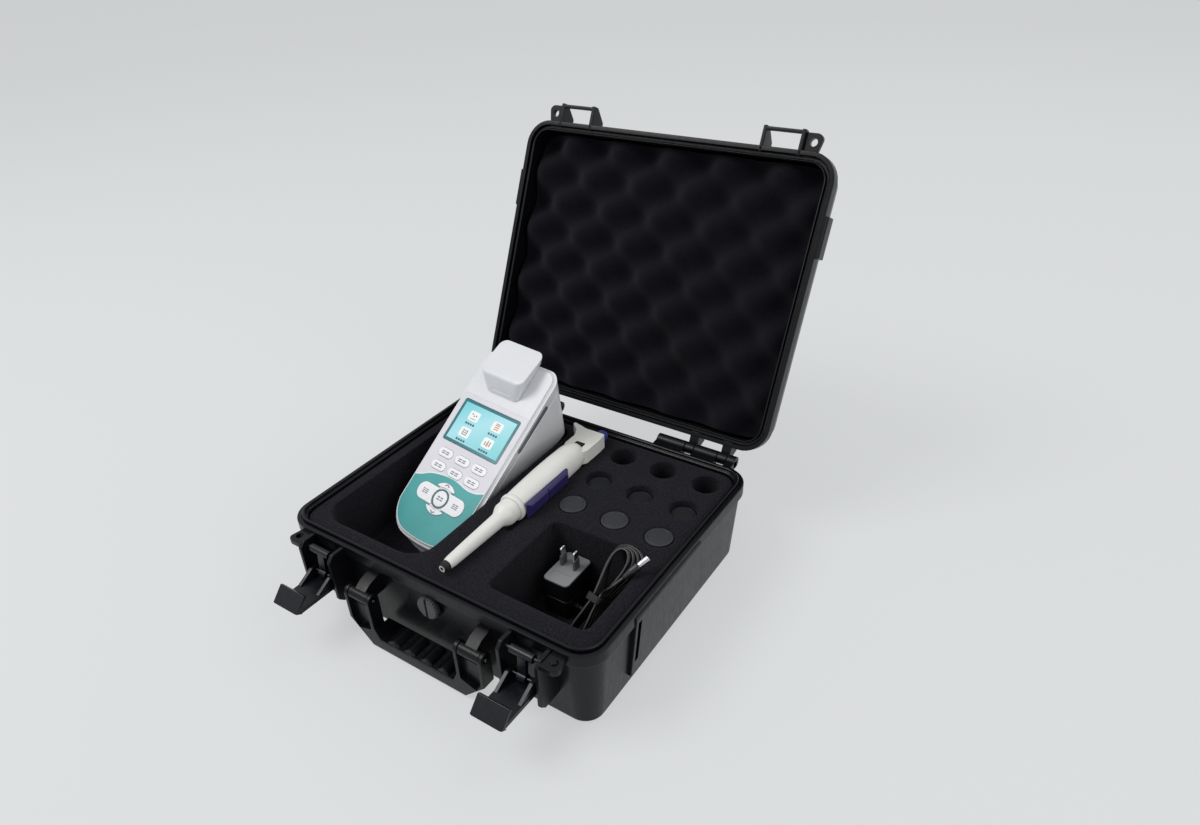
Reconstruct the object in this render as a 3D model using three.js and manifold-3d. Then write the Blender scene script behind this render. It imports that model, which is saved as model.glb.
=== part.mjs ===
// A portable water quality meter in its lidded carry case, in millimetres, +Z up.
// X runs across the case, Y runs from the front to the hinges, and the origin is the centre
// of the base's underside. The case stands open and its lid leans back on its hinge stop.
import * as THREE from "three";
import { mergeVertices } from "three/addons/utils/BufferGeometryUtils.js";
import Module from "manifold-3d";

const wasm = await Module();
wasm.setup();

// Shared clearances and drawing fineness
const SEAT = 0.3; // gap between two pieces that touch
const RUN = 0.35; // radial running clearance round a pin
const OVERRUN = 2; // how far a cutting tool passes the face that it cuts
const WELD = 1e-4; // vertices closer than this are one
const ROUND_SEGMENTS = 18;
const WIDE_SEGMENTS = 28;
const BORE_SEGMENTS = 12;
const CORNER_STEPS = 4;
const SMALL_CORNER_STEPS = 3;

// Case, outside
const CASE_WIDTH = 316;
const CASE_DEPTH = 260;
const RIM_HEIGHT = 80; // parting plane between the base and the lid
const LID_HEIGHT = 42;
const CASE_CORNER = 24;
const BAND_HEIGHT = 11; // thick band round each half at the parting plane
const BAND_WIDTH = 9;
const WALL = 3.2;
const FLOOR = 3.6;
const BAND_STEP = 3; // how far the wall stands back from the band
const BASE_TAPER = 7.8; // how far the wall has come in at the floor
const LID_TAPER = 6.5;
const EDGE_ROUND = 6; // rounding between the walls and the floor or the lid's top
const TONGUE_INSET = 4.6;
const TONGUE_WIDTH = 2.4;
const TONGUE_HEIGHT = 3;
const GROOVE_DEPTH = 6;
const GASKET_HEIGHT = 2.2;

// Lid hinge
const HINGE_BEHIND = 11.4; // pin behind the back of the rim
const HINGE_BELOW = 1.8; // pin below the parting plane
const LID_OPEN_DEG = 114.7;
const HINGE_X = 96.5;
const BARREL_RADIUS = 5.5;
const HINGE_PIN_RADIUS = 2;
const BARREL_WIDTH = 80;
const ARM_WIDTH = 9;
const ARM_A = 90.5; // middles of the lid's two arms on the right hinge
const ARM_B = 123.5;
const ARM_TOP = 96;
const ARM_THICK = 4;
const ARM_SHOULDER_SHARE = 0.8;
const WEB_RISE = 1; // the knuckles' webs start this far above the band's lower edge

// Base foam
const FOAM_TOP = 77;
const FOAM_DRAFT = 1;
const METER_POCKET = { left: -138, right: -24, front: -108, back: 111.5, floor: 16.3 };
const METER_TROUGH = { back: -55, floor: 14 }; // deeper front of the pocket, for the nose as it lies down
const METER_POCKET_CORNER = 22;
const METER_POCKET_BACK_CORNER = 8;
const ADAPTER_POCKET = { left: 42, right: 134, front: -102, back: -10, floor: 12 };
const ADAPTER_POCKET_CORNER = 6;
const VIAL_RADIUS = 12;
const VIAL_FIT = 0.5; // foam round a vial
const VIAL_COLUMNS = 3;
const VIAL_ROWS = 3;
const VIAL_FILLED_ROWS = 2;
const VIAL_PITCH_X = 42.5;
const VIAL_PITCH_Y = 41.8;
const VIAL_FIRST_X = 42.4;
const VIAL_FIRST_Y = 16.5;
const VIAL_HEIGHT = 52;
const VIAL_SUNK = 6; // how far the second row stands lower than the first
const VIAL_PROUD = 0.5;
const VIAL_CAP_HEIGHT = 12;
const VIAL_NECK = 2.4;
const VIAL_EDGE = 1.2;
const VIAL_BASE_EDGE = 2;

// Lid foam
const CRATE_SHEET = 13;
const CRATE_PEAK = 20;
const CRATE_PITCH = 27.5; // from a peak to the next row's
const CRATE_CELL = 12; // size of a facet of the wavy face

// Front: latches, handle and valve
const LATCH_X = 105;
const EAR_GAP = 31;
const EAR_THICK = 3.6;
const EAR_REACH = 16.8; // ears stand this far in front of the rim
const EAR_BOTTOM = 28;
const EAR_TOP = 78;
const EAR_CHAMFER = 5;
const TAB_LENGTH = 15;
const TAB_THICK = 5;
const TAB_DEPTH = 15;
const TAB_HOLE_RADIUS = 3.4;
const TAB_GAP = 3.6; // each padlock tab stands this far from the parting plane
const LINK_AXLE = { reach: 9, up: 72 };
const LEVER_AXLE = { reach: 11.5, up: 50 };
const LATCH_PIN_RADIUS = 1.5;
const LINK_BARREL = 3.6;
const LINK_WIDTH = 21;
const LINK_STEM = 8;
const LINK_STEM_THICK = 3.4;
const LEVER_WIDTH = 26;
const LEVER_TAB_WIDTH = 29;
const LEVER_ARM = 44; // from the lever's pin to the top of its hook
const LEVER_SKIN = 3.6;
const LEVER_STAND = 9.2; // outer face of the lever in front of its pin
const LEVER_HOOK = 16.5;
const LEVER_HOOK_DEG = -43;
const LEVER_SWING_DEG = 88.7;
const LEVER_CHEEK = 3;
const CHEEK_INSET = 0.5;
const LEVER_TOE = 2;
const LEVER_FOOT = 6;
const HOOK_THICK = 3.3;
const HOOK_APEX_SHARE = 0.6;
const CHEEK_TALL = 20;
// Outline of the lever's cheeks about its pin, in shares of its stand and of their height
const CHEEK_SHARES = [
  [-0.76, -0.3],
  [-0.98, 0.7],
  [-0.6, 1],
  [0.38, 0.2],
  [0.38, -0.17],
  [-0.11, -0.3],
];
const CATCH_TOP = 4.6; // the lid's catch above the parting plane
const CATCH_REACH = 16;
const CATCH_THICK = 3.2;
const CATCH_ROUND = 0.8;
const LID_FIN_HEIGHT = 20;
const HANDLE_X = 58.5; // middle of each handle arm
const HANDLE_PIN = { reach: 14, up: 50 };
const HANDLE_ARM = 28;
const HANDLE_THICK = 12;
const HANDLE_BOTTOM = 2;
const HANDLE_GRIP = 11;
const HANDLE_CHAMFER = 22;
const HANDLE_SHELL = 3.6;
const HANDLE_PIN_RADIUS = 3.4;
const HANDLE_BOSS = 6.4;
const HANDLE_LUG = 12;
const LUG_INSET = 1; // the lug's round end inside the handle's boss
const HANDLE_SLOT = 9; // depth of the fork below the pin
const HANDLE_PANEL = { half: 9, low: 28, deep: 1.5 };
const GRIP_INSET = 1;
const GRIP_BUMPS = 4;
const GRIP_BUMP_RADIUS = 9;
const GRIP_BUMP_PITCH = 17;
const GRIP_BUMP_RISE = 4;
const VALVE = { x: 5, up: 58 };
const VALVE_RADIUS = 9;
const VALVE_KNOB_RADIUS = 8;
const VALVE_BODY_REACH = 2.6;
const VALVE_KNOB_DEPTH = 3.6;
const VALVE_BORE = 4;
const VALVE_SLOT = { half: 1.2, deep: 1.6 };

// Side ribs of the base and blocks of the lid
const BOSS_FRONT = -72;
const BOSS_BACK = 30;
const BOSS_LOW = 11;
const BOSS_HIGH = 77;
const BOSS_PROUD = 1.5;
const BOSS_SLOT = { front: -69, width: 5, low: 26, high: 70, depth: 3, shallow: 1 };
const BLOCK_FRONT = -81;
const BLOCK_BACK = -46;
const BLOCK_HIGH = 18;
const BLOCK_PROUD = 3;

// Meter, in its own frame: origin at the middle of its front bottom edge
const METER_TOP_WIDTH = 91;
const METER_BOTTOM_WIDTH = 66;
const METER_TOP_LENGTH = 194;
const METER_BOTTOM_LENGTH = 180;
const METER_FRONT = 26; // height of the front end
const METER_WEDGE_DEG = 15.6;
const METER_LEAN_DEG = 21.5;
const METER_YAW_DEG = -7.5;
const METER_BOW = 5;
const METER_FRONT_CORNER = 27;
const METER_BACK_CORNER = 13;
const METER_EDGE = 3;
const METER_SHELL = 3;
const METER_SHELL_EXTRA = 0.5;
const METER_LID_THICK = 5;
const METER_STEPS = 4;
const METER_NOSE_STEPS = 3;
const METER_SEAM = 14; // seam below the face, square to it
const METER_SCREEN_FROM_FRONT = 117;
const METER_SCREEN_PLACE = { x: -65.6, y: 28.8, z: 110.6 };
const OVERLAY_THICK = 0.8;
const OVERLAY_MARGIN = 4;
const OVERLAY_TOP = 27; // from the screen's middle, up the slope
const SCREEN_WIDTH = 72;
const SCREEN_HEIGHT = 44;
const SCREEN_THICK = 1.6;
const SCREEN_CORNER = 2;
const KEY_WIDTH = 18;
const KEY_HEIGHT = 8.6;
const KEY_THICK = 2.4;
const KEY_TRAVEL = 0.8;
const KEY_PROUD = 0.6;
const KEY_END_SHARE = 0.96;
const KEY_ROWS = 2;
const KEY_COLUMNS = 3;
const KEY_FIRST = { u: -22, v: -33.3 };
const KEY_PITCH = { u: 22.25, v: 13.3 };
const PAD_CENTRE = { u: 1, v: -72.5 };
const PAD_REACH_U = 30;
const PAD_REACH_V = 15.5;
const PAD_RING = 9.8;
const PAD_NEAR = 4;
const PAD_LOBE_HALF = 8.4;
const PAD_END_SHARE = 0.9;
const PAD_UP_HALF = 10.5;
const PAD_UP_CORNER = 2.4;
const PAD_GAP = 1.4;
const PAD_CLEAR = 1;
const ENTER_RADIUS = 7.6;
const COVER_FRONT = 31; // cuvette cover, from the screen's middle up the slope
const COVER_BACK = 83;
const COVER_HEIGHT = 17;
const COVER_HALF = 28.5;
const COVER_TOP_HALF = 22;
const COVER_TOP_FRONT = 49;
const COVER_AXIS = { v: 79, h: 4.4 };
const COVER_PIN_RADIUS = 1.5;
const COVER_PIN_LENGTH = 44;
const COVER_PIN_PLAY = 1;
const COVER_LUG = 7;
const COVER_BARREL = 4;
const COVER_LUG_RADIUS = 3.7;
const COVER_LUG_GAP = 0.6;
const COVER_CORNER = 8;
const COVER_NOTCH = { half: 9, deep: 3.4, high: 3.2 };
const WELL_V = 52;
const WELL_RADIUS = 12.8;
const WELL_WALL = 1.8;
const WELL_FLANGE = 3;
const WELL_DEPTH = 34;
const WELL_FLANGE_THICK = 2;
const COVER_HOLLOW_RADIUS = 18.2; // over the well's flange
const COVER_HOLLOW_NECK = 11;
const COVER_HOLLOW_STEP = 3;
const COVER_HOLLOW = 10;
const BATTERY = { front: 60, length: 74, width: 46, thick: 2 };
const SIDE_GROOVE = { front: -3, back: 47, depth: 1.6, low: 13, high: 7 };

// Pipette, lying along Y on the foam
const PIPETTE = { x: 7, z: 84.6 };
const PIPETTE_TIP = -112;
const NOSE_RADIUS = 6;
const SHAFT_RADIUS = 7.2;
const COLLAR_RADIUS = 12.6;
const BARREL_BULGE = 13.8;
const TIP_RADIUS = 3.4;
const TIP_COLLAR_RADIUS = 4.4;
const TIP_COLLAR_LENGTH = 6;
const NOSE_LENGTH = 84;
const SHAFT_FLARE = 16;
const BARREL_FRONT = -24;
const BARREL_BACK = 74;
const BARREL_STEP = 4;
const BARREL_EDGE = 1;
const HEAD_HALF = 7;
const HEAD_ROOT = 8.3; // radius of the barrel's end under the head
const HEAD_FRONT = 66;
const HEAD_BACK = 104;
const HEAD_WIDE = 13.6;
// Outline of the flat head and its hook, in shares of its half-width and of its length
const HEAD_SHARES = [
  [-0.59, 0],
  [0.59, 0],
  [0.96, 0.16],
  [1, 0.68],
  [0.94, 1],
  [-0.63, 1],
  [-1.1, 1.05],
  [-1.69, 1.105],
  [-1.76, 1.03],
  [-1.18, 0.87],
  [-0.85, 0.63],
  [-0.88, 0.21],
];
const PANEL_SLOT = { left: -4, right: 6, front: 72, back: 82, deep: 1 };
const PLUNGER = { x: 6, radius: 5.5, proud: 9, rod: 2.5, rodLength: 16, travel: 7, well: 12 };
const EJECTOR = { x: -4.5, radius: 3.4, proud: 5, travel: 4, well: 8 };
const PANEL = { front: -20, length: 61, half: 7, out: 17, inset: 2.6, root: 4 };

// Power adapter and its cord
const ADAPTER = { x: 67, y: -30, wide: 25, deep: 38, top: 50, corner: 4 };
const PRONG_PITCH = 12.7;
const PRONG = { y: -26, wide: 6.4, thick: 1.5, long: 18, bare: 8, sheath: 0.5, root: 4 };
const RELIEF = { y: -38, up: 20, radius: 3.8, neck: 2.8, end: 2.3, length: 15 };
const CORD_RADIUS = 1.5;
const CORD_SIDES = 8;
const COIL_SIDES = 6;
const LEAD_STEPS = 10;
const TAIL_STEPS = 7;
// The cord's free route from the adapter's strain relief to the start of the coil
const LEAD_ROUTE = [
  [95.1, -38, 20],
  [98.2, -38, 19.8],
  [101.2, -39.6, 18.9],
  [102.8, -43, 17.4],
  [102.6, -47.5, 15.8],
  [101.4, -52, 14.6],
  [99.8, -56.5, 14],
  [98.2, -61, 13.9],
  [97, -65.5, 13.9],
  [96.4, -70, 13.9],
  [96.5, -73.8, 14.2],
  [97.3, -76.8, 14.6],
  [99.2, -79.1, 15],
  [101.96, -80.37, 15.08],
];
// Its route from the end of the coil, under the tie, to the plug
const TAIL_ROUTE = [
  [113.85, -62.14, 52.97],
  [113.8, -60.3, 54.6],
  [113.95, -58, 56.7],
  [114.25, -55.8, 58.8],
  [114.7, -53.6, 60.8],
  [115.3, -51.4, 62.8],
  [116.5, -50.5, 64.6],
  [118.2, -50, 66.6],
  [120.2, -49.5, 68.7],
  [122.2, -48.3, 70.7],
  [124, -46.7, 72.6],
  [125.7, -44.6, 74.5],
  [128.35, -40.89, 77.34],
];
const HANK = { x: 112, y: -50, z: 53, pitchDeg: 42, yawDeg: 12, far: 50, near: 49 };
const HANK_LOOPS = 4;
const HANK_STEP = 3.45;
const HANK_FAR_HALF = 12.5;
const HANK_NEAR_HALF = 9.5;
const HANK_WAIST_HALF = 3.4;
const HANK_STEPS = 24;
const HANK_BULGE = 2.32; // makes each loop reach its half-width
const HANK_END = 12; // the coil ends this far before its waist
const TIE = { wide: 6, thick: 1.4, room: 1.1, corner: 2.6 };
const PLUG = { radius: 3.5, length: 16, barrel: 2.6, barrelLength: 9, edge: 1 };
const PLUG_TIP = { x: 140.8, y: -23.3, z: 90.6 };
const PLUG_AIM = { x: 0.492, y: 0.695, z: 0.524 };

const DEG = Math.PI / 180;
const FULL = 2 * Math.PI;

// Finishes
const finish = (color, roughness, metalness = 0) =>
  new THREE.MeshStandardMaterial({ color, roughness, metalness });
const BLACK_SHELL = finish(0x1a1b1f, 0.45);
const BLACK_LEVER = finish(0x1b1c26, 0.38);
const BLACK_FOAM = finish(0x232227, 0.95);
const BLACK_RUBBER = finish(0x101012, 0.8);
const STEEL = finish(0xb9bbbd, 0.3, 1);
const GREY_KNOB = finish(0x3a3b3b, 0.5);
const WHITE_SHELL = finish(0xe0e2e6, 0.4);
const OVERLAY_FILM = finish(0xd9d6dc, 0.5);
const SCREEN_GLASS = finish(0x8fdde6, 0.15);
const WHITE_KEY = finish(0xf4f4f6, 0.45);
const DARK_WELL = finish(0x2a2b2e, 0.5);
const IVORY = finish(0xe4e3dc, 0.4);
const NAVY = finish(0x2a2458, 0.4);
const BLUE = finish(0x3c3f86, 0.4);
const GREY_ADAPTER = finish(0x55565a, 0.4);
const BLACK_CORD = finish(0x141416, 0.6);
const VIAL_FINISH = finish(0x4a4b4e, 0.55);

// Solid modelling helpers

// Turns a closed geometry into a solid, with its faces outwards.
function solid(geometry) {
  const bare = geometry.index ? geometry.toNonIndexed() : geometry.clone();
  bare.deleteAttribute("normal");
  bare.deleteAttribute("uv");
  const merged = mergeVertices(bare, WELD);
  const vertProperties = merged.attributes.position.array;
  const triVerts = new Uint32Array(merged.index.array);
  if (signedVolume(vertProperties, triVerts) < 0) triVerts.reverse();
  return new wasm.Manifold(new wasm.Mesh({ numProp: 3, vertProperties, triVerts }));
}

function signedVolume(points, triangles) {
  const corner = (i) => new THREE.Vector3().fromArray(points, 3 * triangles[i]);
  let six = 0;
  for (let i = 0; i < triangles.length; i += 3) {
    six += corner(i).dot(corner(i + 1).cross(corner(i + 2)));
  }
  return six;
}

function geometryOf(body) {
  const mesh = body.getMesh();
  const geometry = new THREE.BufferGeometry();
  geometry.setAttribute("position", new THREE.BufferAttribute(mesh.vertProperties, 3));
  geometry.setIndex(new THREE.BufferAttribute(mesh.triVerts, 1));
  const faceted = geometry.toNonIndexed();
  faceted.computeVertexNormals();
  return faceted;
}

const join = (...bodies) => bodies.reduce((sum, body) => sum.add(body));
const cut = (body, ...tools) => tools.reduce((rest, tool) => rest.subtract(tool), body);

function block(x0, x1, y0, y1, z0, z1, frame) {
  const geometry = new THREE.BoxGeometry(x1 - x0, y1 - y0, z1 - z0);
  geometry.translate((x0 + x1) / 2, (y0 + y1) / 2, (z0 + z1) / 2);
  return solid(frame ? geometry.applyMatrix4(frame) : geometry);
}

const AXES = {
  x: [new THREE.Vector3(0, 1, 0), new THREE.Vector3(0, 0, 1), new THREE.Vector3(1, 0, 0)],
  y: [new THREE.Vector3(0, 0, 1), new THREE.Vector3(1, 0, 0), new THREE.Vector3(0, 1, 0)],
  z: [new THREE.Vector3(1, 0, 0), new THREE.Vector3(0, 1, 0), new THREE.Vector3(0, 0, 1)],
};
const along = (axis) => new THREE.Matrix4().makeBasis(...AXES[axis]);

// Extrudes an outline along an axis. Its points are (y, z) along x, (z, x) along y and (x, y) along z.
function prism(outline, axis, from, to, frame) {
  const shape = new THREE.Shape(outline.map(([a, b]) => new THREE.Vector2(a, b)));
  const geometry = new THREE.ExtrudeGeometry(shape, {
    depth: to - from,
    bevelEnabled: false,
    curveSegments: 1,
  });
  geometry.translate(0, 0, from);
  geometry.applyMatrix4(along(axis));
  return solid(frame ? geometry.applyMatrix4(frame) : geometry);
}

// A round bar along an axis, through (a, b), given in the same order as a prism's points.
function drum(axis, a, b, radius, from, to, frame, segments = ROUND_SEGMENTS, endRadius = radius) {
  const geometry = new THREE.CylinderGeometry(endRadius, radius, to - from, segments);
  geometry.rotateX(Math.PI / 2);
  geometry.translate(a, b, (from + to) / 2);
  geometry.applyMatrix4(along(axis));
  return solid(frame ? geometry.applyMatrix4(frame) : geometry);
}

// Turns a profile of (radius, height) points about the vertical line through (x, y).
function turned(profile, x = 0, y = 0, segments = ROUND_SEGMENTS, frame = null) {
  const points = profile.map(([r, h]) => new THREE.Vector2(r, h));
  const geometry = new THREE.LatheGeometry(points, segments);
  geometry.rotateX(Math.PI / 2);
  geometry.translate(x, y, 0);
  return solid(frame ? geometry.applyMatrix4(frame) : geometry);
}

// Points round a rectangle with round corners, anticlockwise seen from above.
function roundRect(x0, x1, y0, y1, corner, steps = CORNER_STEPS) {
  const centres = [
    [x1 - corner, y1 - corner],
    [x0 + corner, y1 - corner],
    [x0 + corner, y0 + corner],
    [x1 - corner, y0 + corner],
  ];
  return centres.flatMap(([cx, cy], quarter) =>
    Array.from({ length: steps + 1 }, (_, i) => {
      const angle = (quarter + i / steps) * (FULL / 4);
      return [cx + corner * Math.cos(angle), cy + corner * Math.sin(angle)];
    }),
  );
}

// Skins rings of as many points each, from the lowest to the highest.
function loft(rings, frame) {
  const count = rings[0].length;
  const points = rings.flat();
  const index = [];
  for (let k = 0; k + 1 < rings.length; k++) {
    for (let i = 0; i < count; i++) {
      const a = k * count + i;
      const b = k * count + ((i + 1) % count);
      index.push(a, b, b + count, a, b + count, a + count);
    }
  }
  const cap = (ring) =>
    THREE.ShapeUtils.triangulateShape(
      ring.map(([x, y]) => new THREE.Vector2(x, y)),
      [],
    );
  cap(rings[0]).forEach(([a, b, c]) => index.push(a, c, b));
  const last = (rings.length - 1) * count;
  cap(rings[rings.length - 1]).forEach(([a, b, c]) => index.push(last + a, last + b, last + c));
  const geometry = new THREE.BufferGeometry();
  geometry.setAttribute("position", new THREE.Float32BufferAttribute(points.flat(), 3));
  geometry.setIndex(index);
  return solid(frame ? geometry.applyMatrix4(frame) : geometry);
}

const smallRect = (...sizes) => roundRect(...sizes, SMALL_CORNER_STEPS);

const level = (outline, z) => outline.map(([x, y]) => [x, y, z]);

const smoothPath = (points) => new THREE.CatmullRomCurve3(points, false, "centripetal");

function tube(points, radius, sides, steps) {
  const section = new THREE.Shape(
    Array.from({ length: sides }, (_, i) => {
      const angle = (i / sides) * FULL;
      return new THREE.Vector2(radius * Math.cos(angle), radius * Math.sin(angle));
    }),
  );
  const path = smoothPath(points);
  const geometry = new THREE.ExtrudeGeometry(section, { extrudePath: path, steps, curveSegments: 1 });
  return solid(geometry);
}

function piece(name, body, material, parent) {
  const mesh = new THREE.Mesh(geometryOf(body), material);
  mesh.name = name;
  parent.add(mesh);
  return mesh;
}

const SIDES = [
  ["left", -1],
  ["right", 1],
];

// Case outline, taken in by an inset on all sides
const FRONT = -CASE_DEPTH / 2;
const BACK = CASE_DEPTH / 2;
const HALF_WIDTH = CASE_WIDTH / 2;
const caseOutline = (inset) =>
  roundRect(
    -HALF_WIDTH + inset,
    HALF_WIDTH - inset,
    FRONT + inset,
    BACK - inset,
    CASE_CORNER - inset,
  );
const caseLoft = (rings) => loft(rings.map(([z, inset]) => level(caseOutline(inset), z)));

const BAND_LOW = RIM_HEIGHT - BAND_HEIGHT;
const wallInset = (z) => BASE_TAPER - ((BASE_TAPER - BAND_STEP) * z) / BAND_LOW;
const wallFront = (z) => FRONT + wallInset(z);
const WALL_MID = WALL / 2;
const PIN_Y = BACK + HINGE_BEHIND;
const PIN_Z = RIM_HEIGHT - HINGE_BELOW;

// Base shell

function baseBody() {
  const outside = caseLoft([
    [0, BASE_TAPER + EDGE_ROUND],
    [EDGE_ROUND / 3, BASE_TAPER + EDGE_ROUND / 3],
    [EDGE_ROUND, wallInset(EDGE_ROUND)],
    [BAND_LOW - BAND_STEP / 2, wallInset(BAND_LOW)],
    [BAND_LOW, 0],
    [RIM_HEIGHT, 0],
  ]);
  const inside = caseLoft([
    [FLOOR, BASE_TAPER + EDGE_ROUND + WALL],
    [FLOOR + EDGE_ROUND, wallInset(FLOOR + EDGE_ROUND) + WALL],
    [BAND_LOW - BAND_WIDTH / 2, wallInset(BAND_LOW - BAND_WIDTH / 2) + WALL],
    [BAND_LOW, BAND_WIDTH],
    [RIM_HEIGHT + OVERRUN, BAND_WIDTH],
  ]);
  return cut(outside, inside);
}

function tongue() {
  const top = RIM_HEIGHT + TONGUE_HEIGHT;
  const low = RIM_HEIGHT - TONGUE_HEIGHT;
  const outer = caseLoft([
    [low, TONGUE_INSET],
    [top, TONGUE_INSET],
  ]);
  const inner = caseLoft([
    [low - OVERRUN, TONGUE_INSET + TONGUE_WIDTH],
    [top + OVERRUN, TONGUE_INSET + TONGUE_WIDTH],
  ]);
  return cut(outer, inner);
}

function hingeKnuckles(side) {
  const half = BARREL_WIDTH / 2;
  const inner = HINGE_X - half;
  const gap = ARM_WIDTH / 2 + SEAT * 2;
  const spans = [
    [inner, ARM_A - gap],
    [ARM_A + gap, ARM_B - gap],
    [ARM_B + gap, inner + BARREL_WIDTH],
  ];
  const root = BACK - BAND_WIDTH / 2;
  const web = [
    [root, BAND_LOW + WEB_RISE],
    [PIN_Y - BARREL_RADIUS / 2, PIN_Z - BARREL_RADIUS],
    [PIN_Y + BARREL_RADIUS / 2, PIN_Z - BARREL_RADIUS / 2],
    [PIN_Y, PIN_Z + BARREL_RADIUS / 2],
    [root, RIM_HEIGHT - SEAT],
  ];
  return spans.map(([a, b]) => {
    const [from, to] = side > 0 ? [a, b] : [-b, -a];
    return join(
      prism(web, "x", from, to),
      drum("x", PIN_Y, PIN_Z, BARREL_RADIUS, from, to),
    );
  });
}

const hingeBore = (side, radius) =>
  drum(
    "x",
    PIN_Y,
    PIN_Z,
    radius,
    side * HINGE_X - BARREL_WIDTH / 2 - OVERRUN,
    side * HINGE_X + BARREL_WIDTH / 2 + OVERRUN,
  );

function latchEars(side) {
  const rim = FRONT;
  const outline = [
    [rim + BAND_STEP + WALL_MID, EAR_TOP],
    [rim - EAR_REACH + EAR_CHAMFER, EAR_TOP],
    [rim - EAR_REACH, EAR_TOP - EAR_CHAMFER],
    [rim - EAR_REACH, EAR_BOTTOM + EAR_CHAMFER],
    [rim - EAR_REACH + EAR_CHAMFER, EAR_BOTTOM],
    [wallFront(EAR_BOTTOM) + WALL_MID / 2, EAR_BOTTOM],
  ];
  const middle = side * LATCH_X;
  const inner = EAR_GAP / 2;
  const ears = [
    prism(outline, "x", middle - inner - EAR_THICK, middle - inner),
    prism(outline, "x", middle + inner, middle + inner + EAR_THICK),
  ];
  return ears;
}

// The padlock tab beside a bracket, from height z0 to z1
function padlockTab(side, z0, z1) {
  const start = LATCH_X + EAR_GAP / 2 + EAR_THICK / 2;
  const end = LATCH_X + EAR_GAP / 2 + EAR_THICK + TAB_LENGTH;
  const rim = FRONT;
  const hole = padlockHole(side);
  const outline = [
    [start, rim - TAB_DEPTH],
    [end - TAB_HOLE_RADIUS, rim - TAB_DEPTH],
    [end, rim - TAB_DEPTH + TAB_HOLE_RADIUS],
    [end - TAB_HOLE_RADIUS, rim + BAND_WIDTH / 2],
    [start, rim + BAND_WIDTH / 2],
  ].map(([x, y]) => [side * x, y]);
  const plate = prism(outline, "z", z0, z1);
  const bore = drum("z", hole.x, hole.y, TAB_HOLE_RADIUS, z0 - OVERRUN, z1 + OVERRUN, null, BORE_SEGMENTS);
  return cut(plate, bore);
}

function padlockHole(side) {
  return {
    x: side * (LATCH_X + EAR_GAP / 2 + EAR_THICK + TAB_LENGTH / 2),
    y: FRONT - TAB_DEPTH / 2,
  };
}

const latchBore = (side, axle, radius) => {
  const half = EAR_GAP / 2 + EAR_THICK + OVERRUN;
  return drum(
    "x",
    FRONT - axle.reach,
    axle.up,
    radius,
    side * LATCH_X - half,
    side * LATCH_X + half,
    null,
    BORE_SEGMENTS,
  );
};

const HANDLE_Y = FRONT - HANDLE_PIN.reach;
const LUG_HALF = HANDLE_ARM / 2 - HANDLE_SHELL - SEAT;

function handleLug(side) {
  const high = HANDLE_PIN.up + HANDLE_BOSS;
  const low = HANDLE_PIN.up - HANDLE_BOSS;
  const outline = [
    [wallFront(high) + WALL_MID, high + HANDLE_BOSS],
    [HANDLE_Y + HANDLE_BOSS, high + HANDLE_BOSS / 2],
    [HANDLE_Y - HANDLE_BOSS / 2, HANDLE_PIN.up + HANDLE_BOSS / 2],
    [HANDLE_Y, low],
    [wallFront(low) + WALL_MID, low],
  ];
  const middle = side * HANDLE_X;
  return join(
    prism(outline, "x", middle - HANDLE_LUG / 2, middle + HANDLE_LUG / 2),
    drum("x", HANDLE_Y, HANDLE_PIN.up, HANDLE_BOSS - LUG_INSET, middle - LUG_HALF, middle + LUG_HALF),
  );
}

const handleBore = (side, radius) =>
  drum(
    "x",
    HANDLE_Y,
    HANDLE_PIN.up,
    radius,
    side * HANDLE_X - HANDLE_ARM / 2 - OVERRUN,
    side * HANDLE_X + HANDLE_ARM / 2 + OVERRUN,
  );

// The wide upright rib on each side wall, with its slot
function sideBoss(side) {
  const foot = HALF_WIDTH - wallInset(BOSS_LOW);
  const head = HALF_WIDTH - wallInset(BAND_LOW);
  const out = HALF_WIDTH + BOSS_PROUD;
  const outline = [
    [BOSS_LOW, foot - WALL_MID],
    [BOSS_LOW, foot + BAND_STEP],
    [BOSS_HIGH - BAND_STEP, out],
    [BOSS_HIGH, out - BOSS_PROUD / 2],
    [BOSS_HIGH, head - WALL_MID],
  ];
  const rib = prism(
    outline.map(([z, x]) => [z, side * x]),
    "y",
    BOSS_FRONT,
    BOSS_BACK,
  );
  const slotTop = [
    [BOSS_SLOT.low, foot + BAND_STEP - BOSS_SLOT.shallow],
    [BOSS_SLOT.low, out + OVERRUN],
    [BOSS_SLOT.high, out + OVERRUN],
    [BOSS_SLOT.high, out - BOSS_SLOT.depth],
  ];
  const slot = prism(
    slotTop.map(([z, x]) => [z, side * x]),
    "y",
    BOSS_SLOT.front,
    BOSS_SLOT.front + BOSS_SLOT.width,
  );
  return cut(rib, slot);
}

const VALVE_BACK = FRONT + BAND_STEP - SEAT;

function baseShell() {
  let shell = join(baseBody(), tongue());
  for (const [, side] of SIDES) {
    shell = join(
      shell,
      ...hingeKnuckles(side),
      ...latchEars(side),
      padlockTab(side, RIM_HEIGHT - TAB_GAP - TAB_THICK, RIM_HEIGHT - TAB_GAP),
      handleLug(side),
      sideBoss(side),
    );
    shell = cut(
      shell,
      hingeBore(side, HINGE_PIN_RADIUS + SEAT),
      latchBore(side, LINK_AXLE, LATCH_PIN_RADIUS + SEAT),
      handleBore(side, HANDLE_PIN_RADIUS + SEAT),
    );
  }
  const valveHole = drum(
    "y",
    VALVE.up,
    VALVE.x,
    VALVE_BORE + SEAT,
    FRONT - OVERRUN,
    FRONT + BAND_WIDTH,
    null,
    BORE_SEGMENTS,
  );
  return cut(shell, valveHole);
}

// Base foam with its pockets

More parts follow.
